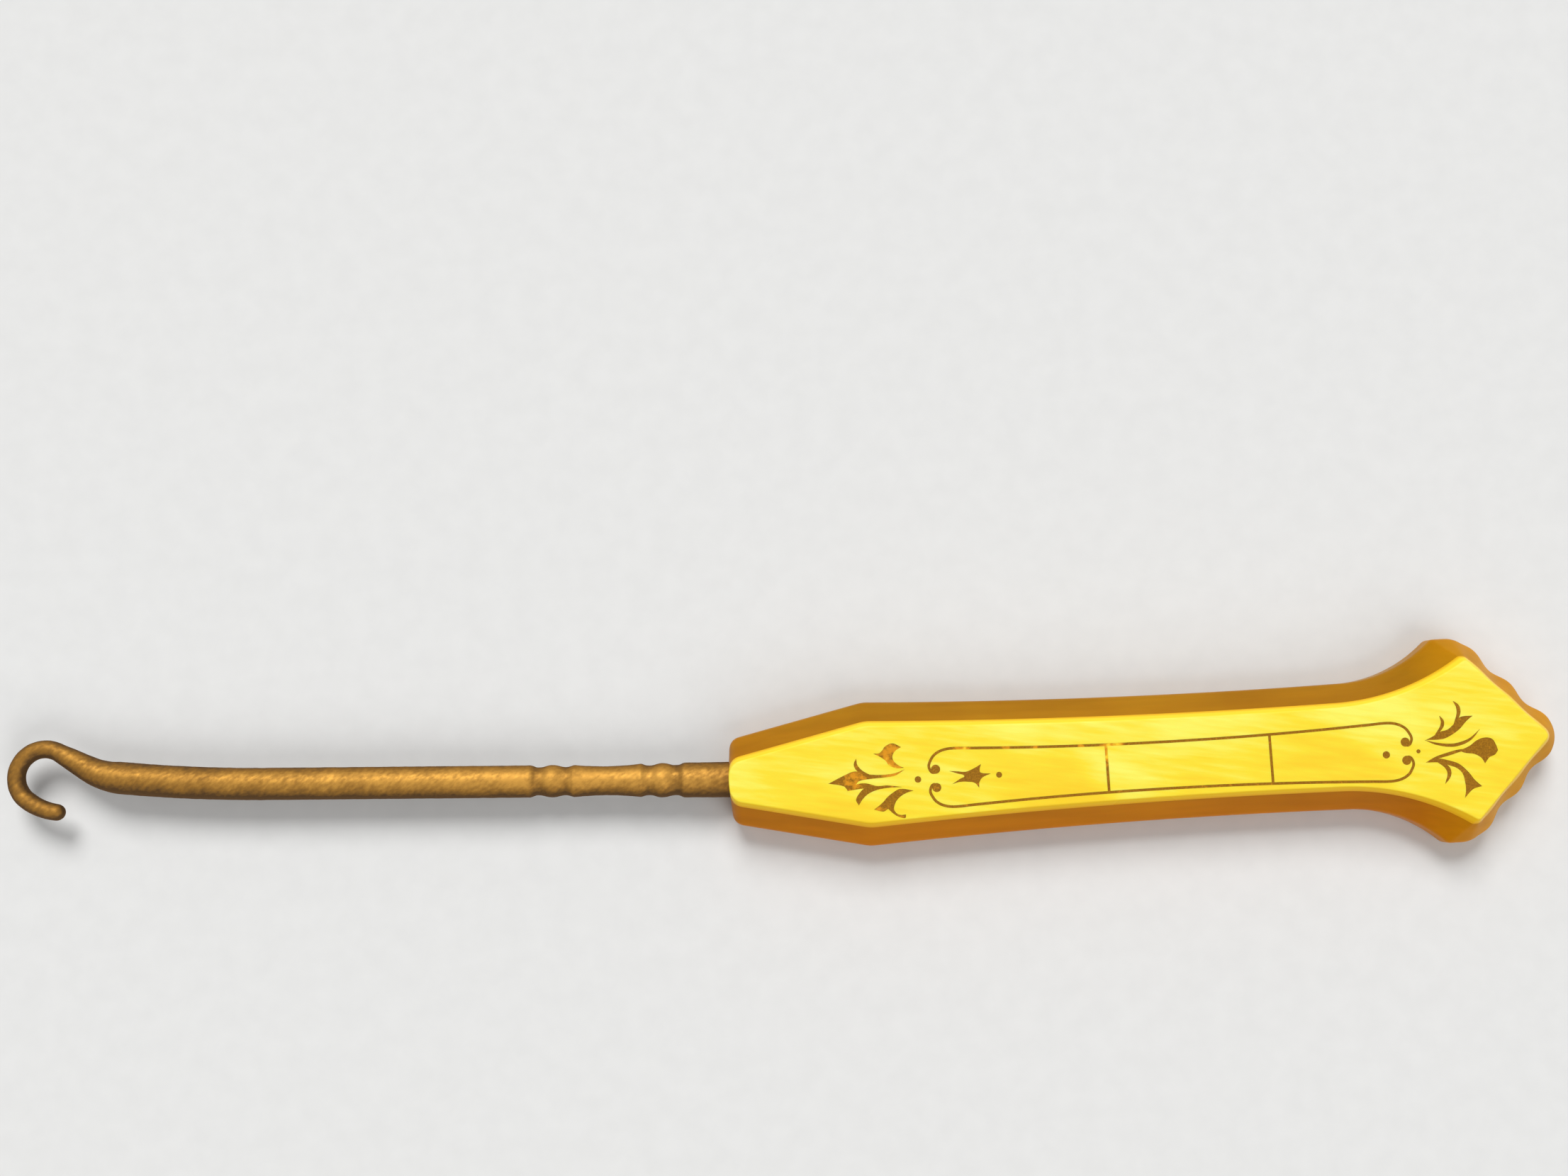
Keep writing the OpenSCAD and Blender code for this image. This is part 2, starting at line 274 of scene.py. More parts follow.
class Shader:
    """Short calls for the nodes of one material."""

    def __init__(self, name: str) -> None:
        """Starts a material that holds a plain surface shader.

        Args:
            name: Name of the material.
        """
        self.material = bpy.data.materials.new(name)
        self.material.use_nodes = True
        self.nodes = self.material.node_tree.nodes
        self.surface = self.nodes["Principled BSDF"]

    def add(self, kind: str, inputs: dict[str | int, Any] | None = None, **settings: Any) -> bpy.types.Node:
        """Adds a node.

        Args:
            kind: The node's type without its ShaderNode prefix.
            inputs: Values or other nodes' sockets for its inputs, by name or number.
            settings: Values for the node's own properties.

        Returns:
            The new node.
        """
        node = self.nodes.new("ShaderNode" + kind)
        for name, value in settings.items():
            setattr(node, name, value)
        for name, value in (inputs or {}).items():
            self.fill(node.inputs[name], value)
        return node

    def fill(self, socket: bpy.types.NodeSocket, value: Any) -> None:
        """Sets one input.

        Args:
            socket: The input.
            value: A plain value, or another node's socket that is linked to it.
        """
        if isinstance(value, bpy.types.NodeSocket):
            self.material.node_tree.links.new(value, socket)
        else:
            socket.default_value = value

    def finish(self, **looks: Any) -> bpy.types.Material:
        """Sets inputs of the surface shader.

        Args:
            looks: Values or sockets, by the input's name in small letters with underscores.

        Returns:
            The finished material.
        """
        inputs = {socket.name.lower().replace(" ", "_"): socket for socket in self.surface.inputs}
        for name, value in looks.items():
            self.fill(inputs[name], value)
        return self.material

    def place(self, turn: float = 0, stretch: float = 1) -> bpy.types.NodeSocket:
        """Gives the piece's own coordinates in millimetres, turned in plan and stretched.

        Args:
            turn: Turn in plan, in degrees.
            stretch: How much longer a pattern gets along its turned x axis.

        Returns:
            The socket that gives the coordinates.
        """
        own = self.add("TexCoord").outputs["Object"]
        turned = self.add("Mapping", {"Vector": own, "Rotation": (0, 0, math.radians(-turn))})
        scale = (1 / (MM * stretch), 1 / MM, 1 / MM)
        return self.add("Mapping", {"Vector": turned.outputs["Vector"], "Scale": scale}).outputs["Vector"]

    def axes(self) -> bpy.types.NodeOutputs:
        """Returns sockets that give the piece's own X, Y and Z in millimetres."""
        return self.add("SeparateXYZ", {"Vector": self.place()}).outputs

    def noise(self, size: float, place: bpy.types.NodeSocket, detail: float = 3) -> bpy.types.NodeSocket:
        """Returns cloudy noise of about 0 to 1 with patches of a size in millimetres."""
        node = self.add("TexNoise", {"Vector": place, "Scale": 1 / size, "Detail": detail})
        return node.outputs["Fac"]

    def total(self, *values: bpy.types.NodeSocket) -> bpy.types.NodeSocket:
        """Adds up some values.

        Args:
            values: The sockets that give them.

        Returns:
            The socket that gives their sum.
        """
        total = values[0]
        for value in values[1:]:
            total = self.add("Math", {0: total, 1: value}, operation="ADD").outputs["Value"]
        return total

    def ramp(self, value: bpy.types.NodeSocket, levels: tuple[float, ...],
             *colours: Colour) -> bpy.types.NodeSocket:
        """Runs through some colours as a value rises.

        Args:
            value: The socket that gives the value.
            levels: The value at each colour, from the lowest up.
            colours: The colours.

        Returns:
            The socket that gives the colour.
        """
        node = self.add("ValToRGB", {"Fac": value})
        elements = node.color_ramp.elements
        while len(elements) < len(levels):
            elements.new(1)
        for element, level, colour in zip(elements, levels, colours):
            element.position = level
            element.color = (*colour, 1)
        return node.outputs["Color"]

    def span(self, value: bpy.types.NodeSocket, low: float, high: float, to_low: float = 0,
             to_high: float = 1) -> bpy.types.NodeSocket:
        """Runs from one bound to another while a value rises.

        Args:
            value: The socket that gives the value.
            low: The value at the first bound.
            high: The value at the second bound.
            to_low: The first bound.
            to_high: The second bound.

        Returns:
            The socket that gives the result, which never leaves its bounds.
        """
        node = self.add("MapRange", {"Value": value, "From Min": low, "From Max": high,
                                     "To Min": to_low, "To Max": to_high})
        return node.outputs["Result"]

    def mix(self, share: Any, a: Any, b: Any, blend: Blend = Blend.COVER) -> bpy.types.NodeSocket:
        """Mixes two colours, where each input is a plain value or a socket.

        Args:
            share: Share of the second colour.
            a: The first colour.
            b: The second colour.
            blend: How the second colour acts on the first one.

        Returns:
            The socket that gives the mixed colour.
        """
        node = self.add("Mix", data_type="RGBA", blend_type=blend.value)
        a, b = (x if isinstance(x, bpy.types.NodeSocket) else (*x, 1) for x in (a, b))
        return self.fill_mix(node, "Color", share, a, b)

    def swirled(self, place: bpy.types.NodeSocket, size: float, share: float) -> bpy.types.NodeSocket:
        """Bends coordinates by a cloudy noise.

        Args:
            place: The socket that gives the coordinates.
            size: Size of the noise's patches, in millimetres.
            share: Share of the noise in the bent coordinates.

        Returns:
            The socket that gives the bent coordinates.
        """
        swirl = self.add("TexNoise", {"Vector": place, "Scale": 1 / size, "Detail": 2}).outputs["Color"]
        return self.fill_mix(self.add("Mix", data_type="VECTOR"), "Vector", share, place, swirl)

    def fill_mix(self, node: bpy.types.Node, kind: str, share: Any, a: Any, b: Any) -> bpy.types.NodeSocket:
        """Sets the inputs of a mix, which has one set of them for each kind of value.

        Args:
            node: The mix.
            kind: End of the names of its sockets.
            share: Share of the second value.
            a: The first value.
            b: The second value.

        Returns:
            The socket that gives the mixed value.
        """
        inputs = {socket.identifier: socket for socket in node.inputs}
        for name, value in (("Factor_Float", share), (f"A_{kind}", a), (f"B_{kind}", b)):
            self.fill(inputs[name], value)
        return next(socket for socket in node.outputs if socket.identifier == f"Result_{kind}")

    def bump(self, height: bpy.types.NodeSocket, depth: float, under: bpy.types.NodeSocket | None = None
             ) -> bpy.types.NodeSocket:
        """Roughens the surface.

        Args:
            height: The socket that gives a height of 0 to 1.
            depth: How far 1 stands above 0, in millimetres.
            under: The socket of a roughened surface that this one lies on, if any.

        Returns:
            The socket that gives the roughened surface.
        """
        node = self.add("Bump", {"Height": height, "Distance": depth * MM, "Strength": 1.0})
        if under is not None:
            self.fill(node.inputs["Normal"], under)
        return node.outputs["Normal"]


@dataclass(frozen=True)
class PatinaSteel:
    """Drawn steel under a golden brown patina, with painted light that makes it brighter where its skin faces
    the light, and duller on the hook.

    Sizes are in millimetres, and a change moves the level that picks the colour.
    """

    gold: Colour = (0.5, 0.26, 0.05)
    brown: Colour = (0.275, 0.135, 0.027)
    dark: Colour = (0.09, 0.048, 0.02)
    levels: tuple[float, float, float] = (0.25, 0.65, 1.0)
    grain: float = 0.4
    grain_turn: float = 35.0
    grain_stretch: float = 2.0
    grain_change: float = 0.11
    grain_depth: float = 0.02
    patch: float = 3.0
    patch_change: float = 0.1
    pit: float = 0.2
    pit_depth: float = 0.006
    hook_dulling: float = 0.32
    # Painted shade where the rod goes into the handle: its length and how far it lowers the level
    painted_shade_length: float = 8.0
    painted_shade_drop: float = 0.2
    metallic: Span = (0.45, 0.6)
    roughness: Span = (0.64, 0.5)
    gloss: float = 0.3
    shine: Colour = (1.0, 0.6, 0.2)
    # Name of the stored share of painted light: how far each point of the skin faces the light, less in the
    # grooves
    rubbed: str = "rubbed"

    def material(self, dull_x: float, bright_x: float, end_x: float) -> bpy.types.Material:
        """Makes the finish.

        Args:
            dull_x: Place where the patina is dullest, in millimetres.
            bright_x: Place from where it is as bright as the piece says, in millimetres.
            end_x: Place where the rod goes into the handle, towards which shade is painted, in millimetres.

        Returns:
            The new material.
        """
        s = Shader("patina_steel")
        place = s.place()
        grain = s.noise(self.grain, s.place(self.grain_turn, self.grain_stretch), detail=4)
        patch = s.noise(self.patch, place)
        pits = s.noise(self.pit, place, detail=2)
        along = s.axes()["X"]
        level = s.total(
            # painted light: the share of the skin that faces the light lifts the colour from dark towards
            # gold
            s.add("Attribute", attribute_name=self.rubbed).outputs["Fac"],
            s.span(along, dull_x, bright_x, -self.hook_dulling, 0),
            # painted shade: darker towards where the rod goes into the handle
            s.span(along, end_x - self.painted_shade_length, end_x, 0, -self.painted_shade_drop),
            s.span(patch, *NOISE, -self.patch_change, self.patch_change),
            s.span(grain, *NOISE, -self.grain_change, self.grain_change),
        )
        return s.finish(
            base_color=s.ramp(level, self.levels, self.dark, self.brown, self.gold),
            metallic=s.span(grain, *NOISE, *self.metallic),
            roughness=s.span(grain, *NOISE, *self.roughness),
            specular_ior_level=self.gloss,
            specular_tint=(*self.shine, 1),
            normal=s.bump(pits, self.pit_depth, s.bump(grain, self.grain_depth)),
        )


@dataclass(frozen=True)
class AmberCelluloid:
    """Polished translucent amber sheet with faint clouds, pale at the butt, with painted light across it:
    greenish on the lit high side, a brighter orange on the shaded low side.

    Sizes are in millimetres. The honey tint and the matt surface come on between two distances from the butt.
    """

    # Painted light: the lit high side's tint, and the brighter tint of the low side that makes up for its
    # shade
    painted_high_side_olive: Colour = (0.45, 0.205, 0.006)
    orange: Colour = (0.67, 0.22, 0.002)
    painted_side_half_width: float = 8.0
    honey: Colour = (0.76, 0.34, 0.008)
    honey_from: float = 18.0
    honey_full: float = 8.0
    cloud: float = 14.0
    cloud_tint: Colour = (0.86, 0.8, 0.7)
    streak: float = 1.6
    streak_stretch: float = 8.0
    streak_tint: Colour = (0.9, 0.89, 0.87)
    matt_from: float = 14.0
    matt_full: float = 4.0
    roughness: Span = (0.3, 0.5)
    gloss: float = 0.06
    shine: Colour = (1.0, 0.5, 0.08)
    glow: float = 0.35
    glow_depth: float = 2.0
    glow_tint: Colour = (1.0, 0.45, 0.08)

    def material(self, butt_x: float) -> bpy.types.Material:
        """Makes the finish.

        Args:
            butt_x: Place where the butt of the handle ends, in millimetres.

        Returns:
            The new material.
        """
        s = Shader("amber_celluloid")
        cloud = s.noise(self.cloud, s.place(), detail=2)
        streak = s.noise(self.streak, s.place(stretch=self.streak_stretch))
        axes = s.axes()
        # painted light: the tint runs from the brighter low side to the lit high side
        tint = s.mix(s.span(axes["Y"], -self.painted_side_half_width, self.painted_side_half_width), self.orange, self.painted_high_side_olive)
        pale = s.span(axes["X"], butt_x - self.honey_from, butt_x - self.honey_full)
        tint = s.mix(pale, tint, self.honey)
        tint = s.mix(1.0, tint, s.ramp(cloud, NOISE, self.cloud_tint, CLEAR), Blend.TINT)
        tint = s.mix(1.0, tint, s.ramp(streak, SHARP_NOISE, self.streak_tint, CLEAR), Blend.TINT)
        return s.finish(
            base_color=tint,
            roughness=s.span(axes["X"], butt_x - self.matt_from, butt_x - self.matt_full, *self.roughness),
            specular_ior_level=self.gloss,
            specular_tint=(*self.shine, 1),
            subsurface_weight=self.glow,
            subsurface_radius=self.glow_tint,
            subsurface_scale=self.glow_depth * MM,
        )


@dataclass(frozen=True)
class PearlCelluloid:
    """Polished yellow pearl sheet, with soft overlapping plates and silky streaks, and a painted highlight
    that makes the face paler towards the high side.

    The rims are the sheet's cut edges on the low and the high side of the handle; their colours are painted
    light, the low one standing in for light that glows through the sheet on the shaded side.
    The shares of its thickness, from the joint up, say where the joint shows through and the face begins.
    """

    deep: Colour = (1.0, 0.67, 0.036)
    mid: Colour = (1.0, 0.77, 0.05)
    pale: Colour = (1.0, 0.93, 0.16)
    levels: tuple[float, float, float] = (0.1, 0.4, 0.8)
    # Painted light: colours of the rims on the shaded low side and the lit high side
    painted_low_rim: Colour = (1.0, 0.57, 0.01)
    painted_high_rim: Colour = (1.0, 0.76, 0.035)
    painted_side_half_width: float = 6.0
    joint: Colour = (0.95, 0.42, 0.003)
    joint_shares: Span = (0.0, 0.5)
    face_shares: Span = (0.86, 0.99)
    plate: float = 4.2
    plate_turn: float = -18.0
    plate_stretch: float = 2.6
    plate_softness: float = 0.6
    plate_levels: Span = (0.1, 0.7)
    swirl: float = 6.0
    swirl_share: float = 0.25
    streak: float = 0.8
    streak_turn: float = -10.0
    streak_stretch: float = 8.0
    streak_change: float = 0.2
    streak_depth: float = 0.006
    # Painted highlight: how far the face darkens on the low side and pales on the high side
    painted_highlight_change: Span = (-0.15, 0.35)
    rough_plates: Span = (0.2, 0.8)
    roughness: Span = (0.34, 0.24)
    gloss: float = 0.2
    shine: Colour = (1.0, 0.8, 0.25)
    glow: float = 0.3
    glow_depth: float = 0.3
    glow_tint: Colour = (1.0, 0.8, 0.2)

    def material(self, joint_z: float, top_z: float) -> bpy.types.Material:
        """Makes the finish.

        Args:
            joint_z: Height of the joint with the amber, which shows through near it, in millimetres.
            top_z: Height of the face, in millimetres.

        Returns:
            The new material.
        """
        s = Shader("pearl_celluloid")
        bent = s.swirled(s.place(self.plate_turn, self.plate_stretch), self.swirl, self.swirl_share)
        cells = {"Vector": bent, "Scale": 1 / self.plate, "Smoothness": self.plate_softness}
        plates = s.add("TexVoronoi", cells, feature="SMOOTH_F1")
        plate = s.add("SeparateColor", {"Color": plates.outputs["Color"]}).outputs["Red"]
        streak = s.noise(self.streak, s.place(self.streak_turn, self.streak_stretch))
        axes = s.axes()
        # painted light and painted highlight: 0 on the low side, 1 on the high side
        side = s.span(axes["Y"], -self.painted_side_half_width, self.painted_side_half_width)
        level = s.total(
            s.span(plate, 0, 1, *self.plate_levels),
            s.span(streak, *SOFT_NOISE, -self.streak_change, self.streak_change),
            s.span(side, 0, 1, *self.painted_highlight_change),
        )
        face = s.ramp(level, self.levels, self.deep, self.mid, self.pale)
        rise = s.span(axes["Z"], joint_z, top_z)
        # painted light: the colour of the rims follows the side they face, over the real joint that shows
        # through
        joint_and_painted_rim = s.mix(s.span(rise, *self.joint_shares), self.joint, s.mix(side, self.painted_low_rim, self.painted_high_rim))
        return s.finish(
            base_color=s.mix(s.span(rise, *self.face_shares), joint_and_painted_rim, face),
            roughness=s.span(plate, *self.rough_plates, *self.roughness),
            specular_ior_level=self.gloss,
            specular_tint=(*self.shine, 1),
            subsurface_weight=self.glow,
            subsurface_radius=self.glow_tint,
            subsurface_scale=self.glow_depth * MM,
            normal=s.bump(streak, self.streak_depth),
        )


@dataclass(frozen=True)
class Wear:
    """A worn place in the paint: its middle and reach in millimetres, and how far the paint is gone there."""

    x: float
    y: float
    reach: float
    gone: float


@dataclass(frozen=True)
class RubbedPaint:
    """Brown paint rubbed into the engraved cuts, worn back to an orange stain or the bare cut in places.

    Sizes are in millimetres, and the levels say how far the paint has to be gone for each colour to show.
    """

    dark: Colour = (0.25, 0.105, 0.003)
    brown: Colour = (0.38, 0.165, 0.006)
    stain: Colour = (0.72, 0.29, 0.01)
    stain_levels: Span = (0.6, 0.8)
    bare: Colour = (0.95, 0.6, 0.03)
    bare_levels: Span = (0.88, 1.0)
    patch: float = 0.8
    speck: float = 0.2
    speck_depth: float = 0.01
    roughness: float = 0.55
    gloss: float = 0.15
    worn: tuple[Wear, ...] = (
        Wear(15.2, 0.4, 2.2, 0.3), Wear(19.5, 3.4, 3.4, 0.3), Wear(19.6, 0.8, 2.4, 0.3),
        Wear(17.8, -3.3, 0.9, 0.3), Wear(20.7, -4.3, 0.9, 0.3), Wear(28.5, 3.4, 1.5, 0.5),
        Wear(33.6, 3.2, 0.9, 0.4), Wear(37.1, 3.1, 0.7, 0.4), Wear(42.6, 2.9, 0.7, 0.4),
        Wear(46.6, 2.8, 2.4, 0.5), Wear(45.7, 1.4, 1.8, 0.3),
    )

    def material(self, origin: Vector) -> bpy.types.Material:
        """Makes the finish.

        Args:
            origin: Where the worn places are measured from, in millimetres.

        Returns:
            The new material.
        """
        s = Shader("rubbed_paint")
        place = s.place()
        speck = s.noise(self.speck, place, detail=2)
        gone = [s.noise(self.patch, place, detail=4)]
        for wear in self.worn:
            middle = origin + Vector((wear.x, wear.y, 0))
            away = s.add("VectorMath", {0: place, 1: middle}, operation="DISTANCE").outputs["Value"]
            gone.append(s.span(away, 0, wear.reach, wear.gone, 0))
        level = s.total(*gone)
        colour = s.mix(s.span(speck, *SHARP_NOISE), self.dark, self.brown)
        colour = s.mix(s.span(level, *self.stain_levels), colour, self.stain)
        return s.finish(
            base_color=s.mix(s.span(level, *self.bare_levels), colour, self.bare),
            roughness=self.roughness,
            specular_ior_level=self.gloss,
            normal=s.bump(speck, self.speck_depth),
        )


@dataclass(frozen=True)
class PaleFloor:
    """Plain pale studio paper, with fibres of a size in millimetres."""

    colour: Colour = (0.8, 0.8, 0.79)
    fibre: float = 3.0
    fibre_shade: float = 0.97
    roughness: float = 1.0
    gloss: float = 0.1

    def material(self) -> bpy.types.Material:
        """Makes the finish.

        Returns:
            The new material.
        """
        s = Shader("pale_floor")
        fibre = s.noise(self.fibre, s.place(), detail=2)
        shaded = tuple(self.fibre_shade * c for c in self.colour)
        return s.finish(
            base_color=s.ramp(fibre, NOISE, shaded, self.colour),
            roughness=self.roughness,
            specular_ior_level=self.gloss,
        )


# Steel hook

# A section of the hook on the shank's own line: along it, across it, heading in degrees and radius
Section = tuple[float, float, float, float]


@dataclass(frozen=True)
class Bend:
    """One bend of the hook, or a straight run between two.

    Its radius and its turn in degrees are 0 on a straight run, and its run is 0 on a bend. The wire's own
    radius tapers to the last value.
    """

    r: float
    turn: float
    run: float
    end_r: float


@dataclass
class SteelHook:
    """The steel, in millimetres and degrees: tang, collar, neck, shank and curled hook, from one rod."""

    front_x: float
    far_x: float
    axis_z: float
    shank_d: float = 4.0
    collar_d: float = 4.4
    lean: float = 2.75
    lean_pivot: float = 6.0
    socket_l: float = 1.5
    tang_d: float = 3.2
    tang_l: float = 38.0
    collar_l: float = 5.9
    groove_w: float = 1.1
    groove_depth: float = 0.27
    bead_w: float = 2.4
    barrel_l: float = 8.9
    barrel_depth: float = 0.27
    sweep_r: float = 187.0
    sweep_turn: float = 5.7
    rise_r: float = 9.8
    rise_turn: float = 22.8
    rise_l: float = 4.2
    loop_r: float = 3.45
    loop_turn: float = 172.0
    point_r: float = 7.9
    point_turn: float = 29.0
    wire_d: float = 2.3
    loop_d: float = 2.2
    point_d: float = 2.1
    sides: int = 40
    tang_step: float = 2.0
    seat_step: float = 0.01
    fine_step: float = 0.2
    fine_over: float = 1.0
    plain_step: float = 0.5
    bend_fine_steps: float = 1.5
    tip_steps: int = 6
    tip_step: float = 13.0
    worn_edge: float = 0.3
    worn_steps: int = 8
    pit_depth: float = 0.05
    pit_size: float = 0.9
    pit_detail: int = 2
    # Tilt of the painted light's direction from straight up towards the high side, in degrees
    painted_light_from: float = 16.0
    groove_shade: float = 0.22
    crease: float = 60.0
    finish: PatinaSteel = field(default_factory=PatinaSteel)

    @property
    def neck_l(self) -> float:
        """Length of the turned neck in front of the handle."""
        return self.collar_l + 4 * self.groove_w + 2 * self.bead_w + self.barrel_l

    def turned_radius(self, u: float) -> float:
        """Gives the rod's radius up to the plain shank, with sharp corners.

        Args:
            u: Distance in front of the handle.

        Returns:
            The radius there.
        """
        if u < -self.socket_l:
            return self.tang_d / 2
        taper = (self.collar_d + (self.shank_d - self.collar_d) * min(max(u / self.neck_l, 0), 1)) / 2
        start = self.collar_l
        for width, bulges in ((self.bead_w, True), (self.barrel_l, False), (self.bead_w, True)):
            if start <= u < start + self.groove_w:
                return taper - self.groove_depth
            start += self.groove_w
            if start <= u < start + width:
                middle = (2 * (u - start) / width - 1) ** 2
                return taper - (self.groove_depth * middle if bulges else self.barrel_depth * (1 - middle))
            start += width
        if start <= u < start + self.groove_w:
            return taper - self.groove_depth
        return taper

    def worn_radius(self, u: float) -> float:
        """Gives the rod's radius with the corners of its neck worn round, as a mean over a short length.

        Args:
            u: Distance in front of the handle.

        Returns:
            The radius there.
        """
        if u < 0:
            return self.turned_radius(u)
        reach = evenly(-self.worn_edge, self.worn_edge, self.worn_steps)
        return sum(self.turned_radius(max(u + d, 0)) for d in reach) / len(reach)

    def at(self, along: float, across: float, heading: float, radius: float) -> Station:
        """Places a section that is given on the leaning line of the shank.

        Args:
            along: Distance in front of the handle.
            across: Distance to the side of the line.
            heading: Turn away from the line.
            radius: Radius of the section.

        Returns:
            The section in the model's frame.
        """
        lean = math.radians(self.lean)
        x, y = -self.lean_pivot - along, across
        place = Vector((self.front_x + self.lean_pivot + x * math.cos(lean) + y * math.sin(lean),
                        y * math.cos(lean) - x * math.sin(lean), self.axis_z))
        return Station(place, math.pi - lean - math.radians(heading), radius)

    def distance(self, x: float, y: float) -> float:
        """Returns how far in front of the handle a place in plan is, along the leaning line of the shank."""
        lean = math.radians(self.lean)
        return (self.front_x + self.lean_pivot - x) * math.cos(lean) + y * math.sin(lean) - self.lean_pivot

    def bends(self) -> list[Bend]:
        """Lists the bends of the hook.

        Returns:
            The bends, from the plain shank to the point.
        """
        rise_arc = self.rise_r * math.radians(self.rise_turn)
        share = rise_arc / (rise_arc + self.rise_l)
        risen_d = self.shank_d + (self.wire_d - self.shank_d) * share
        return [
            Bend(self.sweep_r, self.sweep_turn, 0, self.shank_d / 2),
            Bend(self.rise_r, self.rise_turn, 0, risen_d / 2),
            Bend(0, 0, self.rise_l, self.wire_d / 2),
            Bend(self.loop_r, -self.loop_turn / 2, 0, self.loop_d / 2),
            Bend(self.loop_r, -self.loop_turn / 2, 0, self.wire_d / 2),
            Bend(self.point_r, -self.point_turn, 0, self.point_d / 2),
        ]

    def bent(self, start: Section, bend: Bend) -> list[Section]:
        """Draws one bend.

        Args:
            start: The section that it goes on from.
            bend: The bend.

        Returns:
            The sections after the start.
        """
        x, y, first, first_r = start
        length = bend.run or bend.r * math.radians(abs(bend.turn))
        steps = math.ceil(length / (self.fine_step * self.bend_fine_steps))
        side = math.copysign(bend.r, bend.turn)
        a = math.radians(first)
        sections = []
        for share in evenly(0, 1, steps)[1:]:
            heading = first + bend.turn * share
            b = math.radians(heading)
            run = bend.run * share
            along = x + run * math.cos(a) + side * (math.sin(b) - math.sin(a))
            across = y + run * math.sin(a) + side * (math.cos(a) - math.cos(b))
            sections.append((along, across, heading, first_r + (bend.end_r - first_r) * share))
        return sections

    def hook_route(self) -> list[Section]:
        """Draws the hook bend by bend, up to its blunt point.

        Returns:
            Its sections, from the start of the first bend.
        """
        route: list[Section] = [(0.0, 0.0, 0.0, self.shank_d / 2)]
        for bend in self.bends():
            route += self.bent(route[-1], bend)
        along, across, heading, tip_r = route[-1]
        ahead = math.radians(heading)
        for i in range(1, self.tip_steps + 1):
            turn = math.radians(self.tip_step * i)
            step = tip_r * math.sin(turn)
            place = along + step * math.cos(ahead), across + step * math.sin(ahead)
            route.append((*place, heading, tip_r * math.cos(turn)))
        return route

    def stations(self) -> list[Station]:
        """Lists all sections of the steel, with the hook as far out as the model's.

        Returns:
            The sections, from the end of the tang to the point.
        """
        steps = round((self.tang_l - self.socket_l) / self.tang_step)
        tang = evenly(-self.tang_l, -self.socket_l - self.seat_step, steps)
        seat = [-self.socket_l + self.seat_step, 0.0]
        fine_l = self.neck_l + self.fine_over
        neck = evenly(0, fine_l, round(fine_l / self.fine_step))[1:]
        hook = self.hook_route()
        reach = min(station.place.x - station.radius for station in (self.at(*section) for section in hook))
        start = (reach - self.far_x) / math.cos(math.radians(self.lean))
        plain = evenly(fine_l, start, round((start - fine_l) / self.plain_step))[1:-1]
        rod = [self.at(u, 0, 0, self.worn_radius(u)) for u in (*tang, *seat, *neck)]
        rod += [self.at(u, 0, 0, self.shank_d / 2) for u in plain]
        return rod + [self.at(start + along, *rest) for along, *rest in hook]

    def groove_share(self, u: float) -> float:
        """Says how deep in a groove of the neck a place is.

        Args:
            u: Distance in front of the handle.

        Returns:
            1 in the middle of a groove, falling to 0 just outside it.
        """
        middles = [self.collar_l + self.groove_w / 2]
        for width in (self.bead_w, self.barrel_l, self.bead_w):
            middles.append(middles[-1] + self.groove_w + width)
        nearest = min(abs(u - middle) for middle in middles)
        return max(0, 1 - nearest / self.groove_w)

    def mark_rubbed(self, hook: bpy.types.Object) -> None:
        """Stores painted light: at each point of the skin how far it faces the light, and less in the
        grooves.

        Args:
            hook: The modelled hook.
        """
        tilt = math.radians(self.painted_light_from)
        towards = Vector((0, math.sin(tilt), math.cos(tilt)))
        shares = hook.data.attributes.new(self.finish.rubbed, "FLOAT", "POINT").data
        for vertex, share in zip(hook.data.vertices, shares):
            x, y, _ = vertex.co / MM
            shaded = self.groove_shade * self.groove_share(self.distance(x, y))
            # painted light: brighter where the skin faces the light
            share.value = max(0, vertex.normal.dot(towards)) - shaded

    def build(self) -> bpy.types.Object:
        """Models and dresses the hook, with fine pits cut into its skin.

        Returns:
            The finished piece.
        """
        hook = sweep("hook_steel", self.stations(), self.sides)
        apply_modifier(hook, "SUBSURF", levels=1, render_levels=1)
        clouds = bpy.data.textures.new("pits", "CLOUDS")
        clouds.noise_scale = self.pit_size * MM
        clouds.noise_depth = self.pit_detail
        apply_modifier(hook, "DISPLACE", texture=clouds, texture_coords="LOCAL", mid_level=1.0,
                       strength=self.pit_depth * MM)
        shade(hook, self.crease)
        self.mark_rubbed(hook)
        finish = self.finish.material(self.far_x, self.front_x - self.neck_l, self.front_x)
        dress(hook, finish, "hook_steel", "steel_hook")
        return hook


# Handle

def arc(centre: Vector, r: float, start: float, end: float, steps: int) -> list[Vector]:
    """Returns points of an arc, with angles counted from straight towards the long axis."""
    return [centre + r * Vector((math.sin(a), -math.cos(a))) for a in evenly(start, end, steps)]


def soft(a: Vector, corner: Vector, b: Vector, steps: int) -> list[Vector]:
    """Returns points of a curve that rounds off a corner between two points."""
    return [(1 - t) ** 2 * a + 2 * t * (1 - t) * corner + t * t * b for t in evenly(0, 1, steps)]


def rounded(levels: list[Ring], ease: float, steps: int) -> list[Ring]:
    """Rounds off the inner levels of a stack of rings.

    Args:
        levels: The rings of the sharp form, from the lowest up.
        ease: Length taken off each side of a level, or half of that side where it is short.
        steps: Steps round each level.

    Returns:
        The rings of the rounded levels, without the first and the last one.
    """
    rings: list[Ring] = []
    for below, level, above in zip(levels, levels[1:], levels[2:]):
        columns = []
        for a, b, c in zip(below, level, above):
            start, end = (b + side * min(0.5, ease / max(side.length, 1e-6)) for side in (a - b, c - b))
            columns.append(soft(start, b, end, steps))
        rings += [[column[i] for column in columns] for i in range(steps + 1)]
    return rings


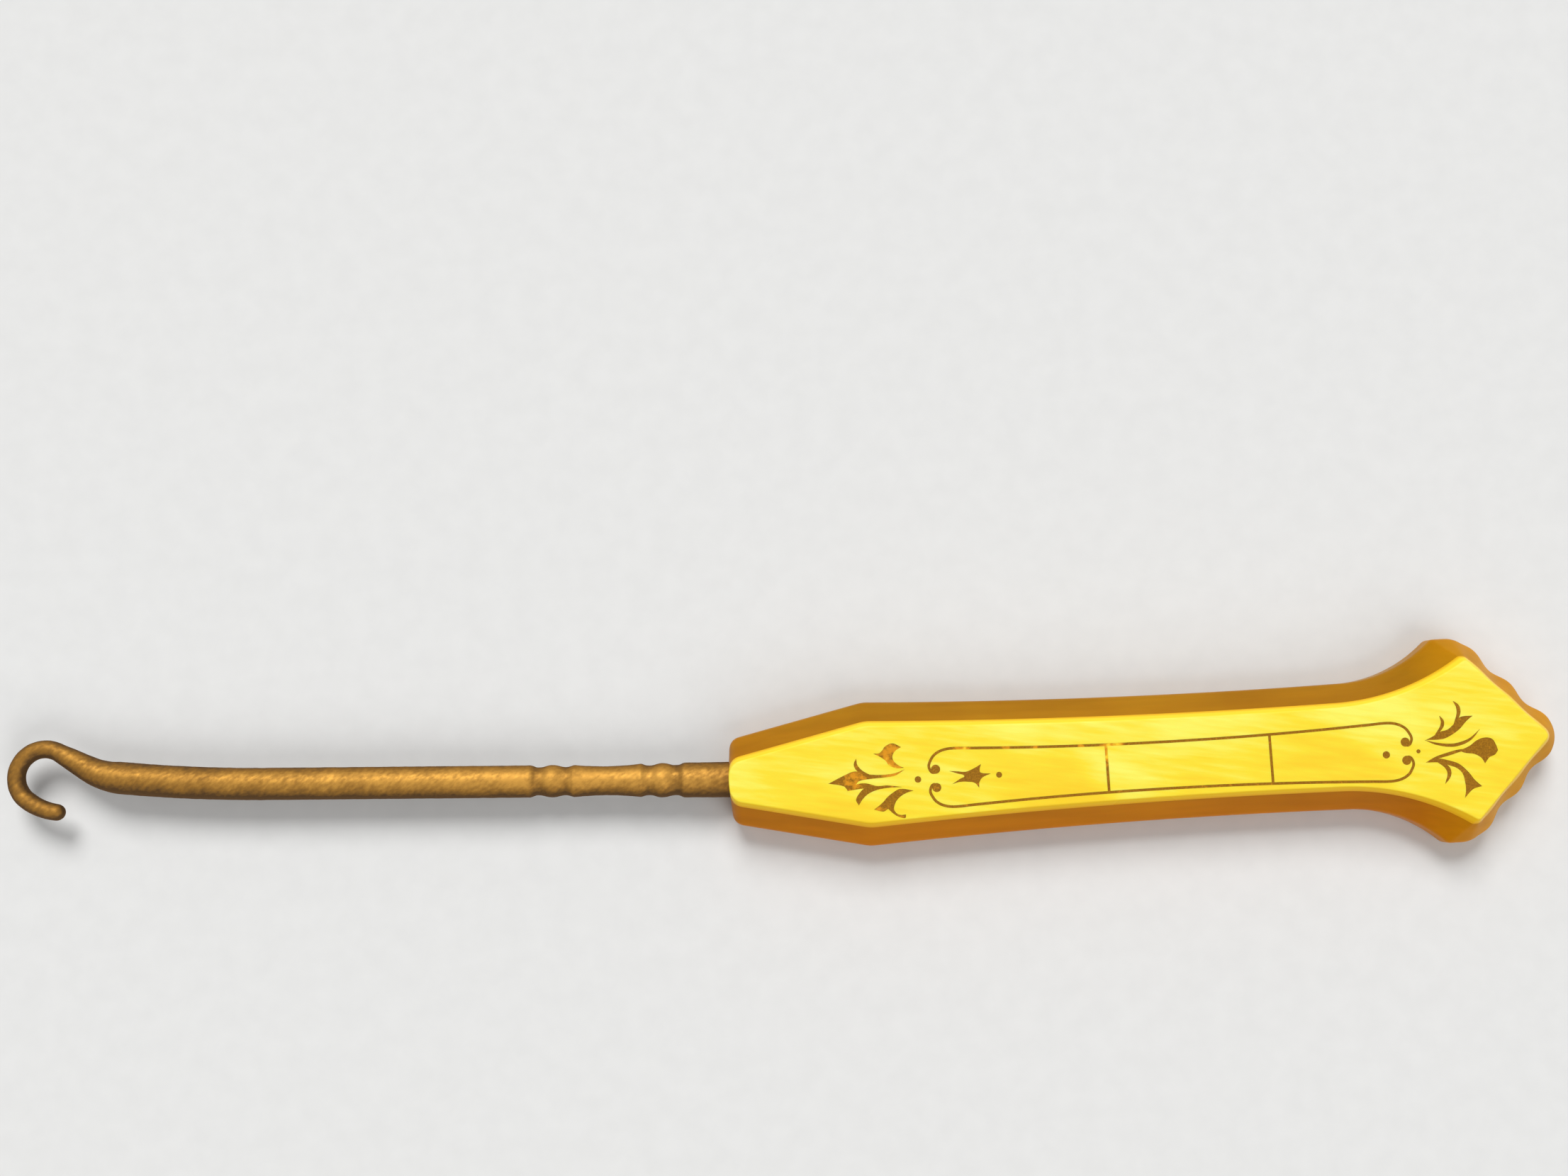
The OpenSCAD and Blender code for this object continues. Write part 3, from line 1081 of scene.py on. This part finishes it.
@dataclass(frozen=True)
class Outline:
    """How one outline of the handle differs from the widest one, in millimetres.

    The sides, the end edges and the front end are each drawn in. The flat, the flare and the eased tip have
    their own sizes, and the scallops a share of their full height.
    """

    side: float
    end: float
    front: float
    flat: float
    flare_r: float
    lobes: float
    tip: float


@dataclass
class Handle:
    """The laminated handle, in millimetres and degrees, lofted through outlines made of arcs and a wave."""

    front_x: float
    length: float
    flare_w: float
    joint_z: float
    top_z: float
    front_w: float = 10.2
    shoulder_w: float = 17.6
    shoulder_x: float = 16.8
    waist_w: float = 15.2
    waist_from_tip: float = 40.6
    flare_r: float = 17.5
    corner_flat: float = 2.8
    end_angle: float = 46.0
    end_lobes: int = 3
    lobe_h: float = 0.6
    bevel_h: float = 4.0
    side_bevel: float = 2.95
    end_bevel: float = 2.1
    face_flare_r: float = 31.5
    face_corner_flat: float = 0.3
    back_ease: float = 1.0
    front_ease: float = 1.2
    front_bow: float = 0.3
    shoulder_ease: float = 0.7
    corner_ease: float = 0.4
    butt_ease: float = 1.1
    tip_ease: float = 2.4
    face_tip_ease: float = 0.7
    flat_ease_share: float = 0.45
    edge_round: float = 0.45
    face_round: float = 0.3
    bore_gap: float = 0.05
    bore_over: float = 1.0
    bore_sides: int = 48
    front_steps: int = 4
    front_ease_steps: int = 8
    shoulder_steps: int = 6
    arc_steps: int = 24
    corner_steps: int = 5
    butt_steps: int = 6
    lobe_steps: int = 12
    tip_steps: int = 6
    round_steps: int = 5
    crease: float = 35.0
    amber: AmberCelluloid = field(default_factory=AmberCelluloid)
    pearl: PearlCelluloid = field(default_factory=PearlCelluloid)

    @property
    def edge_z(self) -> float:
        """Height of the widest edge, where the bevels begin."""
        return self.top_z - self.bevel_h

    @property
    def end_l(self) -> float:
        """Length of an end edge of the butt before its ends are eased."""
        return self.flare_w / 2 / math.sin(math.radians(self.end_angle))

    @property
    def tip_x(self) -> float:
        """Distance of the butt's sharp tip from the front end, which is eased back to the handle's length."""
        angle = math.radians(self.end_angle)
        return self.length + (self.tip_ease * math.cos(angle)
                              - self.wave(self.tip_ease / self.end_l) * math.sin(angle)) / 2

    def wave(self, share: float) -> float:
        """Returns the height of the scallops at a share of the end edge."""
        return self.lobe_h * (1 - math.cos(2 * math.pi * self.end_lobes * share)) / 2

    def hollow(self) -> tuple[Vector, float]:
        """Works out the grip's hollow side on the widest outline, from the shoulder through the waist.

        Returns:
            The centre and the radius of its arc.
        """
        waist_x = self.length - self.waist_from_tip
        rise = (self.shoulder_w - self.waist_w) / 2
        r = ((waist_x - self.shoulder_x) ** 2 + rise ** 2) / (2 * rise)
        return Vector((waist_x, self.waist_w / 2 + r)), r

    def front_corner(self, o: Outline) -> Vector:
        """Works out the sharp corner where the front end meets the tapered side.

        Args:
            o: The outline.

        Returns:
            The corner in plan.
        """
        slope = (self.shoulder_w - self.front_w) / 2 / self.shoulder_x
        x = o.front + self.front_bow
        return Vector((x, self.front_w / 2 - o.side + slope * x))

    def front_end(self, o: Outline) -> list[Vector]:
        """Draws half of the bowed front end.

        Args:
            o: The outline.

        Returns:
            Its points, from the middle to where the corner is eased.
        """
        half_w = self.front_corner(o).y
        shares = evenly(0, 1 - self.front_ease / half_w, self.front_steps)
        return [Vector((o.front + self.front_bow * t * t, half_w * t)) for t in shares]

    def end_edge(self, o: Outline, corner: Vector, tip: Vector, ease: float) -> list[Vector]:
        """Draws one scalloped end edge of the butt.

        Args:
            o: The outline.
            corner: The sharp corner that it starts from.
            tip: The sharp tip that it runs to.
            ease: Length that is eased off at the corner.

        Returns:
            Its points between its eased ends.
        """
        edge = tip - corner
        out = Vector((-edge.y, edge.x)) / edge.length
        shares = evenly(ease / edge.length, 1 - o.tip / edge.length, self.lobe_steps * self.end_lobes)
        return [corner + edge * s + out * o.lobes * self.wave(s) for s in shares]

    def half(self, o: Outline) -> list[Vector]:
        """Draws half of an outline in plan.

        Args:
            o: The outline.

        Returns:
            Its points, from the middle of the front end to the tip of the butt.
        """
        angle = math.radians(self.end_angle)
        front = self.front_corner(o)
        shoulder = Vector((self.shoulder_x, self.shoulder_w / 2 - o.side))
        corner_x = self.tip_x - self.end_l * math.cos(angle)
        corner_back = (o.end - o.side * math.cos(angle)) / math.sin(angle)
        corner = Vector((corner_x - corner_back, self.flare_w / 2 - o.side))
        flat_end = corner - Vector((o.flat, 0))
        tip = Vector((self.tip_x - o.end / math.sin(angle), 0))
        taper = (shoulder - front).normalized()
        ease_a = min(self.corner_ease, self.flat_ease_share * o.flat)
        ease_b = min(self.butt_ease, self.flat_ease_share * o.flat)
        grip_c, grip_r = self.hollow()
        grip_r += o.side
        flare_c = self.flare_centre(flat_end, o.flare_r, grip_c, grip_r)
        turn_a = math.asin((shoulder.x - grip_c.x) / grip_r) + self.shoulder_ease / grip_r
        turn_b = math.atan2(flare_c.x - grip_c.x, grip_c.y - flare_c.y)
        turn_c = math.acos((flare_c.y - flat_end.y) / o.flare_r) - ease_a / o.flare_r
        grip = arc(grip_c, grip_r, turn_a, turn_b, self.arc_steps)
        flare = arc(flare_c, o.flare_r, turn_b, turn_c, self.arc_steps)
        nose = self.front_end(o)
        wave = self.end_edge(o, corner, tip, ease_b)
        mirrored = Vector((wave[-1].x, -wave[-1].y))
        return [
            *nose[:-1],
            *soft(nose[-1], front, front + taper * self.front_ease, self.front_ease_steps),
            *soft(shoulder - taper * self.shoulder_ease, shoulder, grip[0], self.shoulder_steps),
            *grip[1:],
            *flare[1:-1],
            *soft(flare[-1], flat_end, flat_end + Vector((ease_a, 0)), self.corner_steps),
            *soft(corner - Vector((ease_b, 0)), corner, wave[0], self.butt_steps),
            *wave[1:-1],
            *soft(wave[-1], tip, mirrored, 2 * self.tip_steps)[:self.tip_steps + 1],
        ]

    @staticmethod
    def flare_centre(end: Vector, r: float, grip_c: Vector, grip_r: float) -> Vector:
        """Works out the flare's arc, which runs smoothly into the grip's arc.

        Args:
            end: Where the flare's arc ends.
            r: Its radius.
            grip_c: Centre of the grip's arc.
            grip_r: Radius of the grip's arc.

        Returns:
            The centre of the flare's arc.
        """
        across = grip_c - end
        d = across.length
        along = (r * r - (grip_r - r) ** 2 + d * d) / (2 * d)
        off = math.sqrt(r * r - along * along)
        return end + across * along / d + Vector((-across.y, across.x)) * off / d

    def ring(self, outline: Outline, z: float) -> Ring:
        """Draws a whole outline.

        Args:
            outline: The outline.
            z: Its height.

        Returns:
            Its points, all round.
        """
        half = self.half(outline)
        far = [Vector((p.x, -p.y)) for p in half[-2:0:-1]]
        return [Vector((p.x + self.front_x, p.y, z)) for p in (*half, *far)]

    def drawn_in(self, by: float) -> Outline:
        """Returns the widest outline drawn in all round."""
        return Outline(by, by, by, self.corner_flat, self.flare_r + by, 1, self.tip_ease)

    def face_outline(self, by: float) -> Outline:
        """Returns the face's outline drawn in all round."""
        return Outline(self.side_bevel + by, self.end_bevel + by, by, self.face_corner_flat,
                       self.face_flare_r + by, 0, self.face_tip_ease)

    def joint(self) -> Ring:
        """Draws the line on the bevel where the two layers meet.

        Returns:
            Its points, all round.
        """
        share = (self.joint_z - self.edge_z) / self.bevel_h
        edge = self.ring(self.drawn_in(0), self.edge_z)
        face = self.ring(self.face_outline(0), self.top_z)
        return [a.lerp(b, share) for a, b in zip(edge, face)]

    def body_rings(self) -> list[Ring]:
        """Draws the amber body.

        Returns:
            Its rings, from the flat back up to the joint under the pearl.
        """
        inner = self.ring(self.drawn_in(self.back_ease + self.edge_round), 0)
        back = self.ring(self.drawn_in(self.back_ease), 0)
        low = self.ring(self.drawn_in(0), self.back_ease)
        high = self.ring(self.drawn_in(0), self.edge_z)
        joint = self.joint()
        return [inner, *rounded([inner, back, low, high, joint], self.edge_round, self.round_steps), joint]

    def face_rings(self) -> list[Ring]:
        """Draws the pearl sheet.

        Returns:
            Its rings, from the joint up over its softened edge.
        """
        joint = self.joint()
        face = self.ring(self.face_outline(0), self.top_z)
        crown = self.ring(self.face_outline(self.face_round), self.top_z)
        return [joint, *rounded([joint, face, crown], self.face_round, self.round_steps), crown]

    def bore(self, hook: SteelHook) -> bpy.types.Object:
        """Models a tool for the hole that a hook's tang and collar sit in.

        Args:
            hook: The hook.

        Returns:
            The tool, which stands out in front of the handle.
        """
        tang_r, collar_r = (d / 2 + self.bore_gap for d in (hook.tang_d, hook.collar_d))
        seat = -hook.socket_l - self.bore_gap
        stations = [
            hook.at(-hook.tang_l - self.bore_gap, 0, 0, tang_r),
            hook.at(seat, 0, 0, tang_r),
            hook.at(seat + hook.seat_step, 0, 0, collar_r),
            hook.at(self.bore_over, 0, 0, collar_r),
        ]
        return sweep("bore", stations, self.bore_sides)

    def build_body(self, hook: SteelHook) -> bpy.types.Object:
        """Models and dresses the amber body.

        Args:
            hook: The hook whose tang sits in it.

        Returns:
            The finished piece.
        """
        body = loft("handle_body", self.body_rings())
        bore = self.bore(hook)
        carve(body, bore, Carve.CUT)
        remove(bore)
        shade(body, self.crease)
        apply_modifier(body, "WEIGHTED_NORMAL", keep_sharp=True)
        dress(body, self.amber.material(self.front_x + self.length), "amber_celluloid", "amber_body")
        return body

    def build_face(self, cutter: bpy.types.Object) -> bpy.types.Object:
        """Models and dresses the pearl sheet.

        Args:
            cutter: The tool whose cuts are engraved in it.

        Returns:
            The finished piece.
        """
        face = loft("handle_face", self.face_rings())
        carve(face, cutter, Carve.CUT)
        shade(face, self.crease)
        apply_modifier(face, "WEIGHTED_NORMAL", keep_sharp=True)
        dress(face, self.pearl.material(self.joint_z, self.top_z), "pearl_celluloid", "pearl_face")
        return face


# Engraving

class Swell(Enum):
    """How the width of a cut runs along it, as a power of a bow that is 0 at both ends."""

    EVEN = 0.0
    LEAF = 0.7

    def share(self, t: float) -> float:
        """Returns the share of the full width at a share of the length."""
        return math.sin(math.pi * t) ** self.value


@dataclass(frozen=True)
class Cut:
    """One cut of the graver, in millimetres from the handle's front end and from the ornament's own line."""

    points: tuple[Point, ...]
    width: float
    swell: Swell = Swell.LEAF


@dataclass(frozen=True)
class Leaf:
    """One sunk leaf: smooth edges, each of which runs to the first point of the next one, where a tip is."""

    edges: tuple[tuple[Point, ...], ...]


@dataclass(frozen=True)
class Dot:
    """One round sunk dot: its place and radius."""

    x: float
    y: float
    r: float


Mark = Cut | Leaf | Dot

FRONT_PALMETTE: tuple[Mark, ...] = (
    Leaf((
        ((12.0, 0.1), (14.0, 1.0), (15.3, 1.4), (16.6, 1.0), (18.3, 0.8), (20.0, 0.9)),
        ((21.3, 1.3), (20.0, 0.6), (17.3, 0.4), (15.7, 0.2), (15.2, -0.3)),
        ((14.3, -0.9), (13.8, -0.3)),
    )),
    Cut(((15.5, 2.9), (15.4, 2.1), (16.0, 1.3), (17.3, 0.7)), 0.5),
    Leaf((
        ((15.5, -2.7), (15.2, -2.0), (15.7, -1.2)),
        ((16.2, -0.7), (15.1, -0.8)),
        ((14.2, -0.9), (15.3, -0.2), (16.5, -0.1), (17.8, -0.5), (19.1, -0.5)),
        ((20.9, -0.8), (19.1, -0.8), (17.7, -1.0), (16.7, -1.4), (16.0, -2.0)),
    )),
    Leaf((
        ((17.3, -3.3), (18.3, -2.6), (19.0, -1.9), (19.7, -1.4), (20.6, -1.0)),
        ((22.2, -1.3), (21.4, -1.5), (20.6, -1.9), (20.0, -2.5), (19.7, -3.3), (19.9, -3.8), (20.4, -4.1)),
        ((21.1, -4.1), (21.0, -4.5), (20.4, -4.4), (19.7, -4.0)),
        ((19.0, -3.3), (18.4, -3.6)),
    )),
    Leaf((
        ((21.2, 1.5), (20.6, 1.8), (20.0, 2.4), (19.9, 3.0), (20.3, 3.6)),
        ((21.0, 4.0), (20.0, 4.5), (19.1, 4.2)),
        ((18.7, 3.7), (18.3, 3.4)),
        ((17.6, 3.4), (18.5, 2.9), (19.1, 2.4), (19.4, 1.9), (20.3, 1.5)),
    )),
    Dot(22.8, 0.0, 0.4),
)
BUTT_PALMETTE: tuple[Mark, ...] = (
    Leaf((
        ((84.3, 1.2), (85.2, 1.6), (86.1, 2.1), (87.0, 2.3), (87.8, 2.9), (88.3, 3.5), (89.0, 3.8)),
        ((90.2, 3.8), (89.4, 3.2), (88.5, 2.3), (87.4, 1.6), (86.3, 1.2)),
    )),
    Cut(((87.7, 2.5), (88.5, 4.1), (88.5, 5.0), (88.0, 5.7)), 0.5),
    Cut(((85.3, 1.5), (86.3, 2.6), (86.5, 3.3), (86.2, 4.0)), 0.45),
    Cut(((84.2, 1.2), (85.5, 0.7), (87.3, 0.4), (88.7, 0.6), (89.8, 1.1), (90.9, 2.1)), 0.42),
    Cut(((84.1, -1.5), (85.4, -1.0), (87.0, -0.6), (88.3, -0.3), (89.9, -0.2)), 0.42),
    Leaf((
        ((88.2, -0.3), (89.5, 0.2), (90.4, 0.8), (91.4, 1.1), (92.3, 0.9), (92.7, 0.2)),
        ((92.9, -0.5), (92.5, -1.0), (91.8, -1.3)),
        ((91.2, -2.0), (90.8, -1.3), (90.0, -0.8), (88.9, -0.6)),
    )),
    Leaf((
        ((84.2, -1.5), (85.5, -1.1), (86.9, -1.4), (88.1, -1.9), (89.1, -2.9), (89.8, -3.9)),
        ((90.6, -4.7), (89.7, -4.9), (89.2, -5.2)),
        ((88.4, -6.0), (88.6, -5.1), (88.6, -4.2), (88.4, -3.1), (87.8, -2.4), (86.9, -2.0), (85.8, -1.6)),
    )),
    Cut(((85.1, -1.2), (86.5, -2.1), (86.8, -3.0), (86.2, -4.2)), 0.55),
)
STAR_AND_DOTS: tuple[Mark, ...] = (
    Leaf((
        ((26.6, 0.8), (27.6, 0.7), (28.6, 0.6), (29.5, 0.9)),
        ((30.5, 1.4), (30.3, 0.8), (30.4, 0.4)),
        ((31.6, 0.2), (30.6, -0.2), (30.2, -0.7)),
        ((30.1, -1.4), (29.6, -0.8), (28.6, -0.6), (27.7, -0.6)),
        ((26.9, -0.8), (27.9, -0.2), (28.4, 0.1), (27.7, 0.4)),
    )),
    Dot(32.6, 0.0, 0.36),
    Dot(79.4, -0.3, 0.45),
    Dot(83.3, -0.1, 0.25),
)


def smooth(knots: list[Vector], steps: int) -> list[Vector]:
    """Draws a smooth curve through some knots.

    Args:
        knots: The points that the curve runs through.
        steps: Steps from one knot to the next.

    Returns:
        Close points of the curve, with both of its ends.
    """
    ends = [2 * knots[0] - knots[1], *knots, 2 * knots[-1] - knots[-2]]
    line = [knots[0]]
    for before, a, b, after in zip(ends, ends[1:], ends[2:], ends[3:]):
        reach = (b - a).length / 3
        out = a + (b - before).normalized() * reach
        back = b - (after - a).normalized() * reach
        line += interpolate_bezier(a, out, back, b, steps + 1)[1:]
    return line


@dataclass
class Engraving:
    """The engraved ornament of the face, in millimetres and degrees, and the paint rubbed into it.

    The frame's end, curl and dot are given for one quarter, from the middle of the frame.
    """

    front_x: float
    top_z: float
    line_y: float = -0.95
    line_w: float = 0.34
    depth: float = 0.17
    paint_drop: float = 0.035
    frame_x: float = 53.4
    frame_waist: float = 2.8
    frame_end: Point = (24.0, 3.4)
    frame_curl: tuple[Point, ...] = (
        (26.4, 3.5), (27.6, 3.3), (28.5, 2.8), (29.0, 2.1), (29.2, 1.5), (29.0, 0.9), (28.7, 0.7),
        (28.4, 0.8),
    )
    curl_dot: Dot = Dot(28.4, 1.1, 0.56)
    panel_ends: tuple[float, float] = (45.7, 65.5)
    bow_steps: int = 4
    curve_steps: int = 6
    graver_sides: int = 12
    graver_least_r: float = 0.05
    punch_sides: int = 24
    punch_rings: int = 12
    crease: float = 30.0
    paint: RubbedPaint = field(default_factory=RubbedPaint)

    @property
    def origin(self) -> Vector:
        """Point on the face where the ornament's line crosses the handle's front end."""
        return Vector((self.front_x, self.line_y, self.top_z))

    def frame_marks(self) -> list[Mark]:
        """Draws the frame by mirroring one quarter of it both ways, and the ends of its panel.

        Returns:
            Its lines and the dots in its curls.
        """
        end_x, end_y = self.frame_end
        rise = end_y - self.frame_waist
        bow = [(end_x * t, self.frame_waist + rise * t ** 2) for t in evenly(0, 1, self.bow_steps)]
        dot = self.curl_dot
        marks: list[Mark] = []
        for side in (-1, 1):
            for end in (-1, 1):
                line = tuple((self.frame_x + end * x, side * y) for x, y in (*bow, *self.frame_curl))
                marks.append(Cut(line, self.line_w, Swell.EVEN))
                marks.append(Dot(self.frame_x + end * dot.x, side * dot.y, dot.r))
        for x in self.panel_ends:
            line = tuple((x, y) for y in (-self.frame_waist, 0.0, self.frame_waist))
            marks.append(Cut(line, self.line_w, Swell.EVEN))
        return marks

    def spots(self, points: tuple[Point, ...]) -> list[Vector]:
        """Returns drawn points as places on the face."""
        return [self.origin + Vector((x, y, 0)) for x, y in points]

    def graver(self, name: str, cut: Cut) -> bpy.types.Object:
        """Models the tool for one cut: a bar along its line, flattened to the depth of the engraving.

        Args:
            name: Name of the tool.
            cut: The cut.

        Returns:
            The tool.
        """
        line = smooth(self.spots(cut.points), self.curve_steps)
        legs = [b - a for a, b in zip(line, line[1:])]
        ways = [legs[0], *[a + b for a, b in zip(legs, legs[1:])], legs[-1]]
        stations = []
        heading = math.atan2(ways[0].y, ways[0].x)
        for i, (point, way) in enumerate(zip(line, ways)):
            turn = math.atan2(way.y, way.x) - heading
            heading += (turn + math.pi) % (2 * math.pi) - math.pi
            radius = cut.swell.share(i / (len(line) - 1)) * cut.width / 2
            stations.append(Station(point, heading, max(radius, self.graver_least_r)))
        tool = sweep(name, stations, self.graver_sides)
        self.flatten(tool, cut.width / 2)
        return tool

    def stamp(self, name: str, leaf: Leaf) -> bpy.types.Object:
        """Models the tool for one leaf: its outline as a flat block, as deep as the engraving.

        Args:
            name: Name of the tool.
            leaf: The leaf.

        Returns:
            The tool.
        """
        outline: Ring = []
        for edge, following in zip(leaf.edges, (*leaf.edges[1:], leaf.edges[0])):
            outline += smooth(self.spots((*edge, following[0])), self.curve_steps)[:-1]
        return loft(name, [[p + Vector((0, 0, rise)) for p in outline] for rise in (-self.depth, self.depth)])

    def punch(self, name: str, dot: Dot) -> bpy.types.Object:
        """Models the tool for one dot: a ball flattened to the depth of the engraving.

        Args:
            name: Name of the tool.
            dot: The dot.

        Returns:
            The tool.
        """
        clear_selection()
        place = self.origin + Vector((dot.x, dot.y, 0))
        bpy.ops.mesh.primitive_uv_sphere_add(segments=self.punch_sides, ring_count=self.punch_rings,
                                             radius=dot.r * MM, location=place * MM)
        tool = bpy.context.object
        tool.name = name
        bpy.ops.object.transform_apply(location=True, rotation=True, scale=True)
        self.flatten(tool, dot.r)
        return tool

    def flatten(self, tool: bpy.types.Object, radius: float) -> None:
        """Squeezes a round tool so that it reaches just the engraving's depth below the face.

        Args:
            tool: The tool.
            radius: How far it reaches before that.
        """
        pick(tool)
        bpy.ops.object.mode_set(mode="EDIT")
        bpy.ops.mesh.select_all(action="SELECT")
        bpy.ops.transform.resize(value=(1, 1, self.depth / radius), center_override=(0, 0, self.top_z * MM))
        bpy.ops.object.mode_set(mode="OBJECT")

    def build_tool(self) -> bpy.types.Object:
        """Models the tools of all marks.

        Returns:
            The tools as one object.
        """
        made = []
        for i, mark in enumerate((*self.frame_marks(), *FRONT_PALMETTE, *BUTT_PALMETTE, *STAR_AND_DOTS)):
            name = f"mark_{i}"
            if isinstance(mark, Dot):
                made.append(self.punch(name, mark))
            elif isinstance(mark, Leaf):
                made.append(self.stamp(name, mark))
            else:
                made.append(self.graver(name, mark))
        return joined(made, "engraving_tool")

    def build_paint(self, tool: bpy.types.Object) -> bpy.types.Object:
        """Models and dresses the paint that fills the cuts to just below the face.

        Args:
            tool: The tool that makes the cuts.

        Returns:
            The finished piece.
        """
        low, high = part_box("pearl_face")
        level = (self.top_z - self.paint_drop) * MM
        size = Vector((high.x - low.x, high.y - low.y, level - low.z))
        place = ((low.x + high.x) / 2, 0, (low.z + level) / 2)
        clear_selection()
        bpy.ops.mesh.primitive_cube_add(size=1, location=place, scale=size)
        paint = bpy.context.object
        paint.name = "engraved_paint"
        bpy.ops.object.transform_apply(location=True, rotation=True, scale=True)
        carve(paint, tool, Carve.TRIM)
        shade(paint, self.crease)
        dress(paint, self.paint.material(self.origin), None)
        return paint


# Studio

@dataclass
class Studio:
    """Plain floor, soft even light and the camera, in metres and degrees, with its lens in millimetres."""

    floor_size: float = 40.0
    key_from: Place = (-0.06, 0.48, 0.57)
    key_spread: float = 28.0
    key_strength: float = 2.2
    fill_from: Place = (0.25, -0.45, 0.5)
    fill_spread: float = 45.0
    fill_strength: float = 1.0
    sky_light: float = 0.27
    sky_seen: float = 0.95
    camera_at: Place = (0.00029, 0.00354, 0.2312)
    camera_tilt: float = 5.016
    camera_roll: float = -3.293
    camera_near: float = 0.01
    lens: float = 42.31
    sensor: float = 36.0
    paper: PaleFloor = field(default_factory=PaleFloor)

    def build_floor(self) -> None:
        """Lays the floor that the handle lies on."""
        clear_selection()
        bpy.ops.mesh.primitive_plane_add(size=self.floor_size)
        floor = bpy.context.object
        floor.name = "floor"
        floor.data.materials.append(self.paper.material())

    def lamp(self, name: str, at: Place, spread: float, strength: float) -> None:
        """Hangs a soft lamp that faces the object and lights the whole floor evenly.

        Args:
            name: Name of the lamp.
            at: Where it hangs.
            spread: Width of the lamp as the object sees it, in degrees.
            strength: Its light on a surface that faces it, in watts per square metre.
        """
        clear_selection()
        turn = Vector(at).to_track_quat("Z", "Y").to_euler()
        bpy.ops.object.light_add(type="SUN", location=at, rotation=turn)
        lamp = bpy.context.object
        lamp.name = name
        lamp.data.angle = math.radians(spread)
        lamp.data.energy = strength

    def light(self) -> None:
        """Hangs both lamps."""
        self.lamp("key", self.key_from, self.key_spread, self.key_strength)
        self.lamp("fill", self.fill_from, self.fill_spread, self.fill_strength)

    def paint_sky(self) -> None:
        """Sets the sky, which is pale where it is seen and dimmer as a light."""
        world = bpy.data.worlds.new("studio")
        bpy.context.scene.world = world
        world.use_nodes = True
        nodes, links = world.node_tree.nodes, world.node_tree.links
        path = nodes.new("ShaderNodeLightPath")
        seen: bpy.types.NodeSocket = path.outputs["Is Camera Ray"]
        for ray in ("Is Glossy Ray", "Is Transmission Ray"):
            either = nodes.new("ShaderNodeMath")
            either.operation = "MAXIMUM"
            links.new(seen, either.inputs[0])
            links.new(path.outputs[ray], either.inputs[1])
            seen = either.outputs["Value"]
        strength = nodes.new("ShaderNodeMapRange")
        strength.inputs["To Min"].default_value = self.sky_light
        strength.inputs["To Max"].default_value = self.sky_seen
        links.new(seen, strength.inputs["Value"])
        background = nodes["Background"]
        background.inputs["Color"].default_value = (1, 1, 1, 1)
        links.new(strength.outputs["Result"], background.inputs["Strength"])

    def aim_camera(self) -> None:
        """Sets the camera almost straight above, turned a little in plan."""
        clear_selection()
        turn = (math.radians(self.camera_tilt), 0, math.radians(self.camera_roll))
        bpy.ops.object.camera_add(location=self.camera_at, rotation=turn)
        camera = bpy.context.object
        camera.data.lens = self.lens
        camera.data.sensor_width = self.sensor
        camera.data.clip_start = self.camera_near
        bpy.context.scene.camera = camera
        bpy.context.scene.view_settings.view_transform = "Standard"

    def build(self) -> None:
        """Sets up the whole studio."""
        self.build_floor()
        self.light()
        self.paint_sky()
        self.aim_camera()


def main() -> None:
    """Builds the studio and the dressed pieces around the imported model."""
    logging.basicConfig(level=logging.INFO, format="%(name)s: %(message)s")
    Studio().build()
    body_low, body_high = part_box("amber_body")
    face_low, face_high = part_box("pearl_face")
    steel_low, steel_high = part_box("steel_hook")
    front_x, top_z = body_low.x / MM, face_high.z / MM
    hook = SteelHook(front_x, far_x=steel_low.x / MM, axis_z=(steel_low.z + steel_high.z) / 2 / MM)
    handle = Handle(front_x, length=(body_high.x - body_low.x) / MM, flare_w=2 * body_high.y / MM,
                    joint_z=face_low.z / MM, top_z=top_z)
    engraving = Engraving(front_x, top_z)
    pieces = [hook.build(), handle.build_body(hook)]
    tool = engraving.build_tool()
    pieces += [engraving.build_paint(tool), handle.build_face(tool)]
    remove(tool)
    for piece in pieces:
        LOG.info("%s: %d faces", piece.name, len(piece.data.polygons))


if __name__ == "__main__":
    main()
